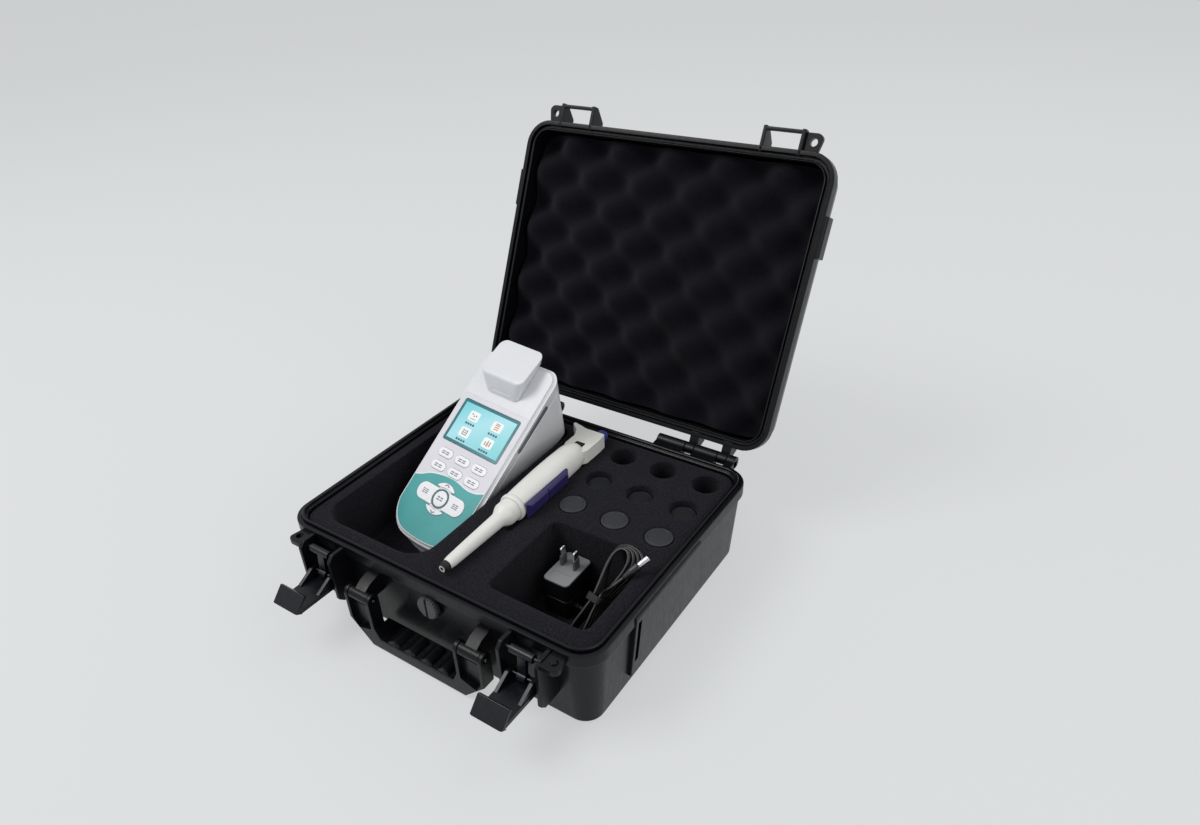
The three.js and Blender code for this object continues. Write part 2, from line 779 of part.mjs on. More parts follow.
const vialHole = (column, row) => ({
  x: VIAL_FIRST_X + column * VIAL_PITCH_X,
  y: VIAL_FIRST_Y + row * VIAL_PITCH_Y,
  top: FOAM_TOP + VIAL_PROUD - (row === 1 ? VIAL_SUNK : 0),
});

const pocketLoft = (pocket, corner) =>
  loft([
    level(roundRect(pocket.left, pocket.right, pocket.front, pocket.back, corner), pocket.floor),
    level(
      roundRect(pocket.left, pocket.right, pocket.front, pocket.back, corner),
      FOAM_TOP + OVERRUN,
    ),
  ]);

const FOAM_GAP = BAND_WIDTH + SEAT;

function baseFoam() {
  let foam = caseLoft([
    [FLOOR + SEAT, BASE_TAPER + EDGE_ROUND + WALL + SEAT],
    [FLOOR + SEAT + EDGE_ROUND, BASE_TAPER + WALL + SEAT],
    [BAND_LOW, FOAM_GAP],
    [FOAM_TOP, FOAM_GAP],
  ]);
  foam = cut(
    foam,
    pocketLoft(METER_POCKET, METER_POCKET_CORNER),
    pocketLoft({ ...METER_POCKET, front: 0 }, METER_POCKET_BACK_CORNER),
    pocketLoft({ ...METER_POCKET, ...METER_TROUGH }, METER_POCKET_CORNER),
    pocketLoft(ADAPTER_POCKET, ADAPTER_POCKET_CORNER),
    drum(
      "y",
      PIPETTE.z,
      PIPETTE.x,
      BARREL_BULGE + SEAT * 2,
      BARREL_FRONT - SHAFT_FLARE - SEAT * 2,
      BARREL_BACK + SEAT * 2,
      null,
      WIDE_SEGMENTS,
    ),
  );
  for (let row = 0; row < VIAL_ROWS; row++) {
    for (let column = 0; column < VIAL_COLUMNS; column++) {
      const hole = vialHole(column, row);
      const floor = hole.top - VIAL_HEIGHT - SEAT;
      foam = cut(
        foam,
        drum("z", hole.x, hole.y, VIAL_RADIUS + VIAL_FIT, floor, FOAM_TOP + OVERRUN),
      );
    }
  }
  return foam;
}

// Lid, modelled closed about the hinge pin, then swung open

const LID_LOW = RIM_HEIGHT + SEAT;
const LID_TOP = RIM_HEIGHT + LID_HEIGHT;
const LID_BAND = LID_LOW + BAND_HEIGHT;
const LID_INSIDE_TOP = LID_TOP - WALL;

function lidBody() {
  const outside = caseLoft([
    [LID_LOW, 0],
    [LID_BAND, 0],
    [LID_BAND + BAND_STEP / 2, BAND_STEP],
    [LID_TOP - EDGE_ROUND, LID_TAPER],
    [LID_TOP - EDGE_ROUND / 3, LID_TAPER + EDGE_ROUND / 3],
    [LID_TOP, LID_TAPER + EDGE_ROUND],
  ]);
  const inside = caseLoft([
    [LID_LOW - OVERRUN, BAND_WIDTH],
    [LID_BAND, BAND_WIDTH],
    [LID_BAND + BAND_STEP, BAND_STEP + WALL],
    [LID_INSIDE_TOP - EDGE_ROUND, LID_TAPER + WALL],
    [LID_INSIDE_TOP, LID_TAPER + EDGE_ROUND + WALL / 2],
  ]);
  const groove = cut(
    caseLoft([
      [LID_LOW - OVERRUN, TONGUE_INSET - SEAT * 2],
      [RIM_HEIGHT + GROOVE_DEPTH, TONGUE_INSET - SEAT * 2],
    ]),
    caseLoft([
      [LID_LOW - OVERRUN * 2, TONGUE_INSET + TONGUE_WIDTH + SEAT * 2],
      [RIM_HEIGHT + GROOVE_DEPTH + OVERRUN, TONGUE_INSET + TONGUE_WIDTH + SEAT * 2],
    ]),
  );
  return cut(outside, inside, groove);
}

function lidArm(side, middle) {
  const root = BACK - BAND_WIDTH / 2;
  const outline = [
    [root, LID_LOW + SEAT],
    [PIN_Y - BARREL_RADIUS / 2, LID_LOW + SEAT],
    [PIN_Y + BARREL_RADIUS / 2, PIN_Z + BARREL_RADIUS * ARM_SHOULDER_SHARE],
    [BACK + ARM_THICK, ARM_TOP],
    [BACK - BAND_STEP - WALL_MID, ARM_TOP],
    [root, LID_BAND],
  ];
  const from = side * middle - ARM_WIDTH / 2;
  const to = side * middle + ARM_WIDTH / 2;
  return join(prism(outline, "x", from, to), drum("x", PIN_Y, PIN_Z, BARREL_RADIUS, from, to));
}

// The two fins and the catch that the latch hooks over
function lidCatch(side) {
  const rim = FRONT;
  const fin = [
    [rim + BAND_STEP + WALL_MID, LID_LOW],
    [rim - EAR_REACH, LID_LOW],
    [rim - EAR_REACH, LID_LOW + LID_FIN_HEIGHT / 3],
    [rim - EAR_REACH / 3, LID_LOW + LID_FIN_HEIGHT],
    [rim + BAND_STEP + WALL_MID, LID_LOW + LID_FIN_HEIGHT],
  ];
  const middle = side * LATCH_X;
  const inner = EAR_GAP / 2;
  const barTop = LID_LOW + CATCH_TOP;
  const bar = [
    [rim - CATCH_REACH + CATCH_THICK, LID_LOW],
    [rim - CATCH_REACH + CATCH_ROUND, LID_LOW],
    [rim - CATCH_REACH, LID_LOW + CATCH_ROUND],
    [rim - CATCH_REACH, barTop - CATCH_ROUND],
    [rim - CATCH_REACH + CATCH_ROUND, barTop],
    [rim - CATCH_REACH + CATCH_THICK, barTop - CATCH_ROUND],
  ];
  return [
    prism(fin, "x", middle - inner - EAR_THICK, middle - inner),
    prism(fin, "x", middle + inner, middle + inner + EAR_THICK),
    prism(bar, "x", middle - inner - EAR_THICK / 2, middle + inner + EAR_THICK / 2),
    padlockTab(side, RIM_HEIGHT + TAB_GAP, RIM_HEIGHT + TAB_GAP + TAB_THICK),
  ];
}

function lidBlock(side) {
  const out = HALF_WIDTH + BLOCK_PROUD;
  const root = HALF_WIDTH - BAND_STEP - WALL_MID;
  const outline = [
    [LID_LOW + SEAT, root],
    [LID_LOW + SEAT, out - BLOCK_PROUD / 2],
    [LID_LOW + BLOCK_PROUD, out],
    [LID_LOW + BLOCK_HIGH - BLOCK_PROUD, out],
    [LID_LOW + BLOCK_HIGH, root + BLOCK_PROUD],
    [LID_LOW + BLOCK_HIGH, root],
  ];
  return prism(
    outline.map(([z, x]) => [z, side * x]),
    "y",
    BLOCK_FRONT,
    BLOCK_BACK,
  );
}

function lidShell() {
  let shell = lidBody();
  for (const [, side] of SIDES) {
    shell = join(
      shell,
      lidArm(side, ARM_A),
      lidArm(side, ARM_B),
      ...lidCatch(side),
      lidBlock(side),
    );
    shell = cut(shell, hingeBore(side, HINGE_PIN_RADIUS + RUN));
  }
  return shell;
}

function lidGasket() {
  const low = RIM_HEIGHT + GROOVE_DEPTH - SEAT - GASKET_HEIGHT;
  const high = RIM_HEIGHT + GROOVE_DEPTH - SEAT;
  return cut(
    caseLoft([
      [low, TONGUE_INSET],
      [high, TONGUE_INSET],
    ]),
    caseLoft([
      [low - OVERRUN, TONGUE_INSET + TONGUE_WIDTH],
      [high + OVERRUN, TONGUE_INSET + TONGUE_WIDTH],
    ]),
  );
}

// The wavy foam: a sheet with staggered peaks, cut to the lid's round corners
function lidFoam() {
  const sheetTop = LID_INSIDE_TOP - SEAT;
  const valley = sheetTop - CRATE_SHEET;
  const amplitude = CRATE_PEAK / 2;
  const halfX = HALF_WIDTH - BAND_WIDTH;
  const halfY = CASE_DEPTH / 2 - BAND_WIDTH;
  const columns = Math.round((2 * halfX) / CRATE_CELL);
  const rows = Math.round((2 * halfY) / CRATE_CELL);
  const wave = (x, y) =>
    Math.cos((Math.PI * x) / CRATE_PITCH) * Math.cos((Math.PI * y) / CRATE_PITCH);
  const points = [];
  const index = [];
  const add = (x, y, z) => points.push(x, y, z) / 3 - 1;
  const at = (c, r) => r * (columns + 1) + c;
  for (let r = 0; r <= rows; r++) {
    for (let c = 0; c <= columns; c++) {
      const x = -halfX + (2 * halfX * c) / columns;
      const y = -halfY + (2 * halfY * r) / rows;
      add(x, y, valley - amplitude * (1 + wave(x, y)));
    }
  }
  for (let r = 0; r < rows; r++) {
    for (let c = 0; c < columns; c++) {
      index.push(at(c, r), at(c + 1, r + 1), at(c + 1, r));
      index.push(at(c, r), at(c, r + 1), at(c + 1, r + 1));
    }
  }
  const border = [
    ...Array.from({ length: columns }, (_, c) => at(c, 0)),
    ...Array.from({ length: rows }, (_, r) => at(columns, r)),
    ...Array.from({ length: columns }, (_, c) => at(columns - c, rows)),
    ...Array.from({ length: rows }, (_, r) => at(0, rows - r)),
  ];
  const upper = border.map((i) => add(points[3 * i], points[3 * i + 1], sheetTop));
  border.forEach((a, i) => {
    const b = border[(i + 1) % border.length];
    const c = upper[i];
    const d = upper[(i + 1) % border.length];
    index.push(a, b, d, a, d, c);
  });
  const outline = upper.map((i) => new THREE.Vector2(points[3 * i], points[3 * i + 1]));
  THREE.ShapeUtils.triangulateShape(outline, []).forEach((face) =>
    index.push(...face.map((i) => upper[i])),
  );
  const geometry = new THREE.BufferGeometry();
  geometry.setAttribute("position", new THREE.Float32BufferAttribute(points, 3));
  geometry.setIndex(index);
  const outline3 = caseLoft([
    [LID_LOW, FOAM_GAP],
    [LID_INSIDE_TOP - EDGE_ROUND - SEAT, FOAM_GAP + FOAM_DRAFT],
    [LID_INSIDE_TOP, LID_TAPER + EDGE_ROUND + WALL],
  ]);
  return solid(geometry).intersect(outline3);
}

// Latches: a link hangs from the ears and carries the lever that hooks over the lid's catch

function latchLink() {
  const drop = LINK_AXLE.up - LEVER_AXLE.up;
  const out = LEVER_AXLE.reach - LINK_AXLE.reach;
  const half = LINK_STEM_THICK / 2;
  const stem = [
    [half, 0],
    [-half, 0],
    [-out - half, -drop],
    [-out + half, -drop],
  ];
  const body = join(
    drum("x", 0, 0, LINK_BARREL, -LINK_WIDTH / 2, LINK_WIDTH / 2),
    prism(stem, "x", -LINK_STEM / 2, LINK_STEM / 2),
    drum("x", -out, -drop, LINK_BARREL, -LINK_STEM / 2, LINK_STEM / 2),
  );
  const through = LINK_WIDTH / 2 + OVERRUN;
  return cut(
    body,
    drum("x", 0, 0, LATCH_PIN_RADIUS + RUN, -through, through, null, BORE_SEGMENTS),
    drum("x", -out, -drop, LATCH_PIN_RADIUS + SEAT, -through, through, null, BORE_SEGMENTS),
  );
}

// Lever in its own frame, as it stands when the lid is locked: its pin at the origin, the case on +Y
function latchLever() {
  const hook = LEVER_HOOK_DEG * DEG;
  const apex = [-LEVER_STAND + LEVER_SKIN + HOOK_APEX_SHARE * HOOK_THICK - LEVER_TOE, LEVER_ARM];
  const tip = [apex[0] + LEVER_HOOK * Math.cos(hook), apex[1] + LEVER_HOOK * Math.sin(hook)];
  const below = [HOOK_THICK * Math.sin(hook), -HOOK_THICK * Math.cos(hook)];
  const tipIn = [tip[0] + below[0], tip[1] + below[1]];
  const inside = -LEVER_STAND + LEVER_SKIN;
  const back = (inside - tipIn[0]) / Math.cos(hook);
  const throat = [inside, tipIn[1] + back * Math.sin(hook)];
  const skin = [
    [-LEVER_STAND + LEVER_TOE, -LEVER_FOOT],
    [-LEVER_STAND, LEVER_SKIN],
    [-LEVER_STAND, LEVER_ARM - LEVER_FOOT],
    apex,
    [(apex[0] + throat[0]) / 2, throat[1]],
    throat,
    [inside, LEVER_SKIN],
    [inside + LEVER_TOE, -LEVER_FOOT],
  ];
  const hookShape = [apex, tip, tipIn, throat, [-LEVER_STAND, LEVER_ARM - LEVER_FOOT]];
  const cheek = CHEEK_SHARES.map(([y, z]) => [y * LEVER_STAND, z * CHEEK_TALL]);
  const half = LEVER_WIDTH / 2;
  const inner = half - CHEEK_INSET - LEVER_CHEEK;
  const body = join(
    prism(skin, "x", -half, half),
    prism(hookShape, "x", -LEVER_TAB_WIDTH / 2, LEVER_TAB_WIDTH / 2),
    prism(cheek, "x", inner, inner + LEVER_CHEEK),
    prism(cheek, "x", -inner - LEVER_CHEEK, -inner),
  );
  const bore = drum("x", 0, 0, LATCH_PIN_RADIUS + RUN, -half - OVERRUN, half + OVERRUN, null, BORE_SEGMENTS);
  return cut(body, bore);
}

const pinAcross = (radius, half) => drum("x", 0, 0, radius, -half, half, null, BORE_SEGMENTS);

// Carry handle, hanging down from its pins
function carryHandle() {
  const outer = HANDLE_X + HANDLE_ARM / 2;
  const inner = HANDLE_X - HANDLE_ARM / 2;
  const top = HANDLE_PIN.up + HANDLE_BOSS;
  const gripTop = HANDLE_BOTTOM + HANDLE_GRIP;
  const frame = [
    [-outer, top],
    [-outer, HANDLE_BOTTOM + HANDLE_CHAMFER],
    [-outer + HANDLE_CHAMFER, HANDLE_BOTTOM],
    [outer - HANDLE_CHAMFER, HANDLE_BOTTOM],
    [outer, HANDLE_BOTTOM + HANDLE_CHAMFER],
    [outer, top],
    [inner, top],
    [inner, gripTop + HANDLE_GRIP],
    [inner - HANDLE_GRIP / 2, gripTop],
    [-inner + HANDLE_GRIP / 2, gripTop],
    [-inner, gripTop + HANDLE_GRIP],
    [-inner, top],
  ].map(([x, z]) => [z, x]);
  const front = HANDLE_Y - HANDLE_THICK / 2;
  const back = HANDLE_Y + HANDLE_THICK / 2;
  let handle = prism(frame, "y", front, back);
  for (let i = 0; i < GRIP_BUMPS; i++) {
    const x = (i - (GRIP_BUMPS - 1) / 2) * GRIP_BUMP_PITCH;
    const z = gripTop + GRIP_BUMP_RISE - GRIP_BUMP_RADIUS;
    const bump = drum("y", z, x, GRIP_BUMP_RADIUS, front + GRIP_INSET, back - GRIP_INSET);
    const keep = block(-outer, outer, front, back, HANDLE_BOTTOM, top);
    handle = join(handle, bump.intersect(keep));
  }
  const lugRoom = HANDLE_ARM / 2 - HANDLE_SHELL;
  for (const [, side] of SIDES) {
    const x = side * HANDLE_X;
    const slotLow = HANDLE_PIN.up - HANDLE_SLOT;
    handle = cut(
      handle,
      block(x - lugRoom, x + lugRoom, front - OVERRUN, back + OVERRUN, slotLow, top + OVERRUN),
      handleBore(side, HANDLE_PIN_RADIUS + RUN),
    );
    const panel = [x - HANDLE_PANEL.half, x + HANDLE_PANEL.half];
    const low = HANDLE_PANEL.low;
    handle = cut(
      handle,
      block(...panel, front - OVERRUN, front + HANDLE_PANEL.deep, low, slotLow - HANDLE_SHELL),
    );
  }
  const round = turnedTop(top, back);
  return handle.intersect(round);
}

// Rounds the tops of the handle's arms about their pins
function turnedTop(top, back) {
  const outer = HANDLE_X + HANDLE_ARM / 2 + OVERRUN;
  const front = 2 * HANDLE_Y - back;
  return join(
    block(-outer, outer, front, back, 0, HANDLE_PIN.up),
    drum("x", HANDLE_Y, HANDLE_PIN.up, HANDLE_THICK / 2, -outer, outer),
  );
}

const VALVE_FACE = VALVE_BACK - VALVE_BODY_REACH;

function valveBody() {
  const disc = drum("y", VALVE.up, VALVE.x, VALVE_RADIUS, VALVE_FACE, VALVE_BACK);
  const stub = drum(
    "y",
    VALVE.up,
    VALVE.x,
    VALVE_BORE,
    VALVE_BACK - SEAT,
    FRONT + BAND_WIDTH - SEAT,
    null,
    BORE_SEGMENTS,
  );
  return join(disc, stub);
}

function valveKnob() {
  const front = VALVE_FACE - SEAT - VALVE_KNOB_DEPTH;
  const knob = drum("y", VALVE.up, VALVE.x, VALVE_KNOB_RADIUS, front, VALVE_FACE - SEAT);
  const slot = block(
    VALVE.x - VALVE_SLOT.half,
    VALVE.x + VALVE_SLOT.half,
    front - OVERRUN,
    front + VALVE_SLOT.deep,
    VALVE.up - VALVE_RADIUS,
    VALVE.up + VALVE_RADIUS,
  );
  return cut(knob, slot);
}

// Meter, in its own frame

const WEDGE = METER_WEDGE_DEG * DEG;
const RISE = Math.sin(WEDGE);
const RUN_OUT = Math.cos(WEDGE);
const SCREEN_Y = METER_SCREEN_FROM_FRONT * RUN_OUT;
const SCREEN_Z = METER_FRONT + METER_SCREEN_FROM_FRONT * RISE;
// The sloping face: u to the right, v up the slope and w out of it, from the screen's middle
const FACE = new THREE.Matrix4().makeRotationX(WEDGE).setPosition(0, SCREEN_Y, SCREEN_Z);
const FACE_FRONT = -METER_SCREEN_FROM_FRONT;
const FACE_BACK = METER_TOP_LENGTH - METER_SCREEN_FROM_FRONT;

// Outline of the meter seen from above, with big round front corners and a bowed nose
function meterOutline(half, front, back, inset) {
  const steps = METER_STEPS;
  const big = METER_FRONT_CORNER - inset;
  const small = METER_BACK_CORNER - inset;
  const h = half - inset;
  const y0 = front + inset;
  const y1 = back - inset;
  const arc = (cx, cy, r, quarter) =>
    Array.from({ length: steps + 1 }, (_, i) => {
      const angle = (quarter + i / steps) * (FULL / 4);
      return [cx + r * Math.cos(angle), cy + r * Math.sin(angle)];
    });
  const nose = Array.from({ length: METER_NOSE_STEPS }, (_, i) => {
    const share = (i + 1) / (METER_NOSE_STEPS + 1);
    return [(-1 + 2 * share) * (h - big), y0];
  });
  const points = [
    ...arc(h - small, y1 - small, small, 0),
    ...arc(-h + small, y1 - small, small, 1),
    ...arc(-h + big, y0 + big, big, 2),
    ...nose,
    ...arc(h - big, y0 + big, big, 3),
  ];
  const bowed = (x, y) => (y < y0 + big ? y + METER_BOW * (1 - Math.cos((Math.PI * x) / (2 * h))) : y);
  return points.map(([x, y]) => [x, y < y0 + big ? Math.min(bowed(x, y), y0 + big) : y]);
}

// A ring of the meter's outside at a height above its underside
const lowRing = (z, inset) =>
  level(meterOutline(METER_BOTTOM_WIDTH / 2, 0, METER_BOTTOM_LENGTH, inset), z);

// A ring parallel to the face, w above it
function faceRing(w, inset) {
  const outline = meterOutline(METER_TOP_WIDTH / 2, FACE_FRONT, FACE_BACK, inset);
  return outline.map(([u, v]) => new THREE.Vector3(u, v, w).applyMatrix4(FACE).toArray());
}

const meterBody = () =>
  loft([lowRing(0, METER_EDGE), lowRing(METER_EDGE, 0), faceRing(-METER_EDGE, 0), faceRing(0, METER_EDGE)]);

const meterHollow = () =>
  loft([
    lowRing(METER_SHELL + BATTERY.thick, METER_SHELL + METER_SHELL_EXTRA),
    faceRing(-METER_LID_THICK, METER_SHELL + METER_SHELL_EXTRA),
  ]);

const FAR = 2 * METER_TOP_LENGTH;
const aboveSeam = (gap) => block(-FAR, FAR, -FAR, FAR, -METER_SEAM + gap, FAR, FACE);
const belowSeam = (gap) => block(-FAR, FAR, -FAR, FAR, -FAR, -METER_SEAM - gap, FACE);

const overlayOutline = (grow) => {
  const outline = meterOutline(METER_TOP_WIDTH / 2, FACE_FRONT, FACE_BACK, OVERLAY_MARGIN - grow);
  return outline.map(([u, v]) => [u, Math.min(v, OVERLAY_TOP + grow)]);
};

const screenOutline = (grow) =>
  roundRect(
    -SCREEN_WIDTH / 2 - grow,
    SCREEN_WIDTH / 2 + grow,
    -SCREEN_HEIGHT / 2 - grow,
    SCREEN_HEIGHT / 2 + grow,
    SCREEN_CORNER + grow,
    SMALL_CORNER_STEPS,
  );

// All keys: a name, an outline and what lies between it and its neighbours
function keySolids(grow, low, high) {
  const keys = [];
  for (let row = 0; row < KEY_ROWS; row++) {
    for (let column = 0; column < KEY_COLUMNS; column++) {
      const u = KEY_FIRST.u + column * KEY_PITCH.u;
      const v = KEY_FIRST.v - row * KEY_PITCH.v;
      const halfU = KEY_WIDTH / 2 + grow;
      const halfV = KEY_HEIGHT / 2 + grow;
      const outline = smallRect(u - halfU, u + halfU, v - halfV, v + halfV, halfV * KEY_END_SHARE);
      keys.push([`soft_key_${row + 1}_${column + 1}`, prism(outline, "z", low, high, FACE)]);
    }
  }
  const { u, v } = PAD_CENTRE;
  const ring = () => drum("z", u, v, PAD_RING - grow, low - OVERRUN, high + OVERRUN, FACE);
  const sideways = (side, more) => {
    const near = u + side * PAD_NEAR;
    const far = u + side * (PAD_REACH_U + more);
    const half = PAD_LOBE_HALF + more;
    const corner = PAD_LOBE_HALF * PAD_END_SHARE + more;
    const outline = smallRect(Math.min(near, far), Math.max(near, far), v - half, v + half, corner);
    return prism(outline, "z", low, high, FACE);
  };
  const upright = (side) => {
    const near = v + side * (PAD_LOBE_HALF + PAD_GAP - grow);
    const far = v + side * (PAD_REACH_V + grow);
    const half = PAD_UP_HALF + grow;
    const corner = PAD_UP_CORNER + grow;
    const outline = smallRect(u - half, u + half, Math.min(near, far), Math.max(near, far), corner);
    const room = PAD_RING + PAD_CLEAR - grow;
    const hollow = drum("z", u, v, room, low - OVERRUN, high + OVERRUN, FACE);
    return cut(prism(outline, "z", low, high, FACE), hollow);
  };
  keys.push(["arrow_key_left", cut(sideways(-1, grow), ring())]);
  keys.push(["arrow_key_right", cut(sideways(1, grow), ring())]);
  keys.push(["arrow_key_up", upright(1)]);
  keys.push(["arrow_key_down", upright(-1)]);
  keys.push(["enter_key", drum("z", u, v, ENTER_RADIUS + grow, low, high, FACE)]);
  return keys;
}

const KEY_BACK = KEY_PROUD - KEY_THICK;
const KEY_POCKET = KEY_BACK - KEY_TRAVEL - SEAT;

// The well's top, where it stands in the face
const WELL_Y = SCREEN_Y + WELL_V * RUN_OUT;
const WELL_Z = SCREEN_Z + WELL_V * RISE;
const WELL_FLOOR = WELL_Z - WELL_DEPTH;
const wellDrum = (radius, low) =>
  drum("z", 0, WELL_Y, radius, low, WELL_Z + METER_FRONT).intersect(
    block(-FAR, FAR, -FAR, FAR, -FAR, SEAT + WELL_FLANGE_THICK, FACE),
  );

function cuvetteWell() {
  const flangeRadius = WELL_RADIUS + WELL_WALL + WELL_FLANGE;
  const top = SEAT + WELL_FLANGE_THICK;
  return cut(
    join(
      wellDrum(WELL_RADIUS + WELL_WALL, WELL_FLOOR - WELL_WALL),
      drum("z", 0, WELL_V, flangeRadius, SEAT, top, FACE),
    ),
    drum("z", 0, WELL_Y, WELL_RADIUS, WELL_FLOOR, WELL_Z + METER_FRONT),
  );
}

const wellHole = () =>
  drum("z", 0, WELL_Y, WELL_RADIUS + WELL_WALL + SEAT, METER_FRONT, WELL_Z + METER_FRONT);

const coverPin = (radius, half) =>
  drum("x", COVER_AXIS.v, COVER_AXIS.h, radius, -half, half, FACE, BORE_SEGMENTS);

function coverLug() {
  const { v, h } = COVER_AXIS;
  const edge = FACE_BACK;
  const web = [
    [v - COVER_LUG_RADIUS, -COVER_AXIS.h / 2],
    [v - COVER_LUG_RADIUS, h],
    [v + COVER_LUG_RADIUS, h],
    [v + COVER_LUG_RADIUS / 2, -COVER_LUG_RADIUS / 2],
    [edge - METER_EDGE - WELL_WALL, -METER_SEAM + WELL_WALL],
    [edge - METER_EDGE * 2, -METER_SEAM / 2],
  ];
  return join(
    prism(web, "x", -COVER_LUG, COVER_LUG, FACE),
    drum("x", v, h, COVER_LUG_RADIUS, -COVER_LUG, COVER_LUG, FACE),
  );
}

// The dark recess in each side, in the face's frame
function sideGroove(side) {
  const top = METER_TOP_WIDTH / 2;
  const slope = (METER_TOP_WIDTH - METER_BOTTOM_WIDTH) / 2 / (SCREEN_Z + METER_FRONT);
  const at = (w) => side * (top + slope * w - SIDE_GROOVE.depth);
  const outline = [
    [at(-SIDE_GROOVE.low), -SIDE_GROOVE.low],
    [at(-SIDE_GROOVE.high), -SIDE_GROOVE.high],
    [side * (top + OVERRUN), -SIDE_GROOVE.high],
    [side * (top + OVERRUN), -SIDE_GROOVE.low],
  ].map(([u, w]) => [w, u]);
  return prism(outline, "y", SIDE_GROOVE.front, SIDE_GROOVE.back, FACE);
}

function upperHousing() {
  let body = cut(meterBody().intersect(aboveSeam(SEAT / 2)), meterHollow());
  body = join(body, coverLug());
  return cut(
    body,
    prism(overlayOutline(SEAT), "z", -OVERLAY_THICK - SEAT, OVERRUN, FACE),
    prism(screenOutline(SEAT), "z", -SCREEN_THICK - SEAT, OVERRUN, FACE),
    ...keySolids(SEAT, KEY_POCKET, OVERRUN).map(([, solidKey]) => solidKey),
    wellHole(),
    coverPin(COVER_PIN_RADIUS + SEAT, COVER_PIN_LENGTH / 2),
    sideGroove(1),
    sideGroove(-1),
  );
}

const batteryBlock = (grow, low, high) =>
  block(
    -BATTERY.width / 2 - grow,
    BATTERY.width / 2 + grow,
    BATTERY.front - grow,
    BATTERY.front + BATTERY.length + grow,
    low,
    high,
  );

const lowerHousing = () =>
  cut(
    meterBody().intersect(belowSeam(SEAT / 2)),
    meterHollow(),
    batteryBlock(SEAT, -OVERRUN, BATTERY.thick + SEAT),
  );

const faceOverlay = () =>
  cut(
    prism(overlayOutline(0), "z", -OVERLAY_THICK, 0, FACE),
    prism(screenOutline(SEAT), "z", -OVERRUN, OVERRUN, FACE),
    ...keySolids(SEAT, -OVERRUN, OVERRUN).map(([, solidKey]) => solidKey),
  );

function cuvetteCover() {
  const ring = (halfU, v0, v1, h, corner) =>
    smallRect(-halfU, halfU, v0, v1, corner).map(([u, v]) => [u, v, h]);
  const rise = (share, low, high) => low + share * (high - low);
  const edge = METER_EDGE / COVER_HEIGHT;
  const at = (share, inset) => [
    rise(share, COVER_HALF, COVER_TOP_HALF) - inset,
    rise(share, COVER_FRONT, COVER_TOP_FRONT) + inset,
    rise(share, COVER_BACK, COVER_BACK + WELL_FLANGE) - inset,
    rise(share, SEAT, COVER_HEIGHT),
    COVER_CORNER - inset,
  ];
  const shell = loft([ring(...at(0, 0)), ring(...at(1 - edge, 0)), ring(...at(1, METER_EDGE))], FACE);
  const { v, h } = COVER_AXIS;
  const hollow = turned(
    [
      [0, -OVERRUN],
      [COVER_HOLLOW_RADIUS, -OVERRUN],
      [COVER_HOLLOW_RADIUS, COVER_HOLLOW_STEP],
      [COVER_HOLLOW_NECK, COVER_HOLLOW],
      [0, COVER_HOLLOW],
    ],
    0,
    WELL_V,
    ROUND_SEGMENTS,
    FACE,
  );
  const half = COVER_PIN_LENGTH / 2 + WELL_WALL;
  const rear = block(-COVER_HALF, COVER_HALF, v, v + COVER_HEIGHT, -OVERRUN, h, FACE);
  const slotFront = v - COVER_LUG_RADIUS - COVER_LUG_GAP;
  const slotHalf = COVER_LUG + COVER_LUG_GAP;
  const slot = block(-slotHalf, slotHalf, slotFront, v + FAR, -FAR, FAR, FACE);
  const notch = block(
    -COVER_NOTCH.half,
    COVER_NOTCH.half,
    COVER_FRONT - OVERRUN,
    COVER_FRONT + COVER_NOTCH.deep,
    -OVERRUN,
    COVER_NOTCH.high,
    FACE,
  );
  return cut(
    join(cut(shell, rear), coverPin(COVER_BARREL, half)),
    hollow,
    slot,
    notch,
    coverPin(COVER_PIN_RADIUS + RUN, half + OVERRUN),
  );
}

// Pipette: its pieces are turned about a line along Y

const PIPETTE_LINE = along("y").setPosition(PIPETTE.x, 0, PIPETTE.z);
const turnedAlong = (profile) => turned(profile, 0, 0, ROUND_SEGMENTS, PIPETTE_LINE);
const pipetteDrum = (dx, radius, from, to, segments = BORE_SEGMENTS) =>
  drum("y", PIPETTE.z, PIPETTE.x + dx, radius, from, to, null, segments);
const COLLAR_END = PIPETTE_TIP + TIP_COLLAR_LENGTH;
const NOSE_END = BARREL_FRONT - SEAT;
const HEAD_LENGTH = HEAD_BACK - HEAD_FRONT;

const tipCollar = () =>
  turnedAlong([
    [0, PIPETTE_TIP],
    [TIP_RADIUS, PIPETTE_TIP],
    [TIP_RADIUS, PIPETTE_TIP + TIP_COLLAR_LENGTH / 3],
    [TIP_COLLAR_RADIUS, PIPETTE_TIP + TIP_COLLAR_LENGTH / 3],
    [TIP_COLLAR_RADIUS, COLLAR_END],
    [0, COLLAR_END],
  ]);

const noseCone = () =>
  turnedAlong([
    [0, COLLAR_END + SEAT],
    [TIP_COLLAR_RADIUS, COLLAR_END + SEAT],
    [NOSE_RADIUS, COLLAR_END + NOSE_RADIUS],
    [SHAFT_RADIUS, NOSE_END - SHAFT_FLARE - BARREL_STEP],
    [SHAFT_RADIUS, NOSE_END - SHAFT_FLARE],
    [COLLAR_RADIUS - BARREL_STEP / 2, NOSE_END - SHAFT_FLARE / 2],
    [COLLAR_RADIUS - BARREL_STEP / 2, NOSE_END],
    [0, NOSE_END],
  ]);

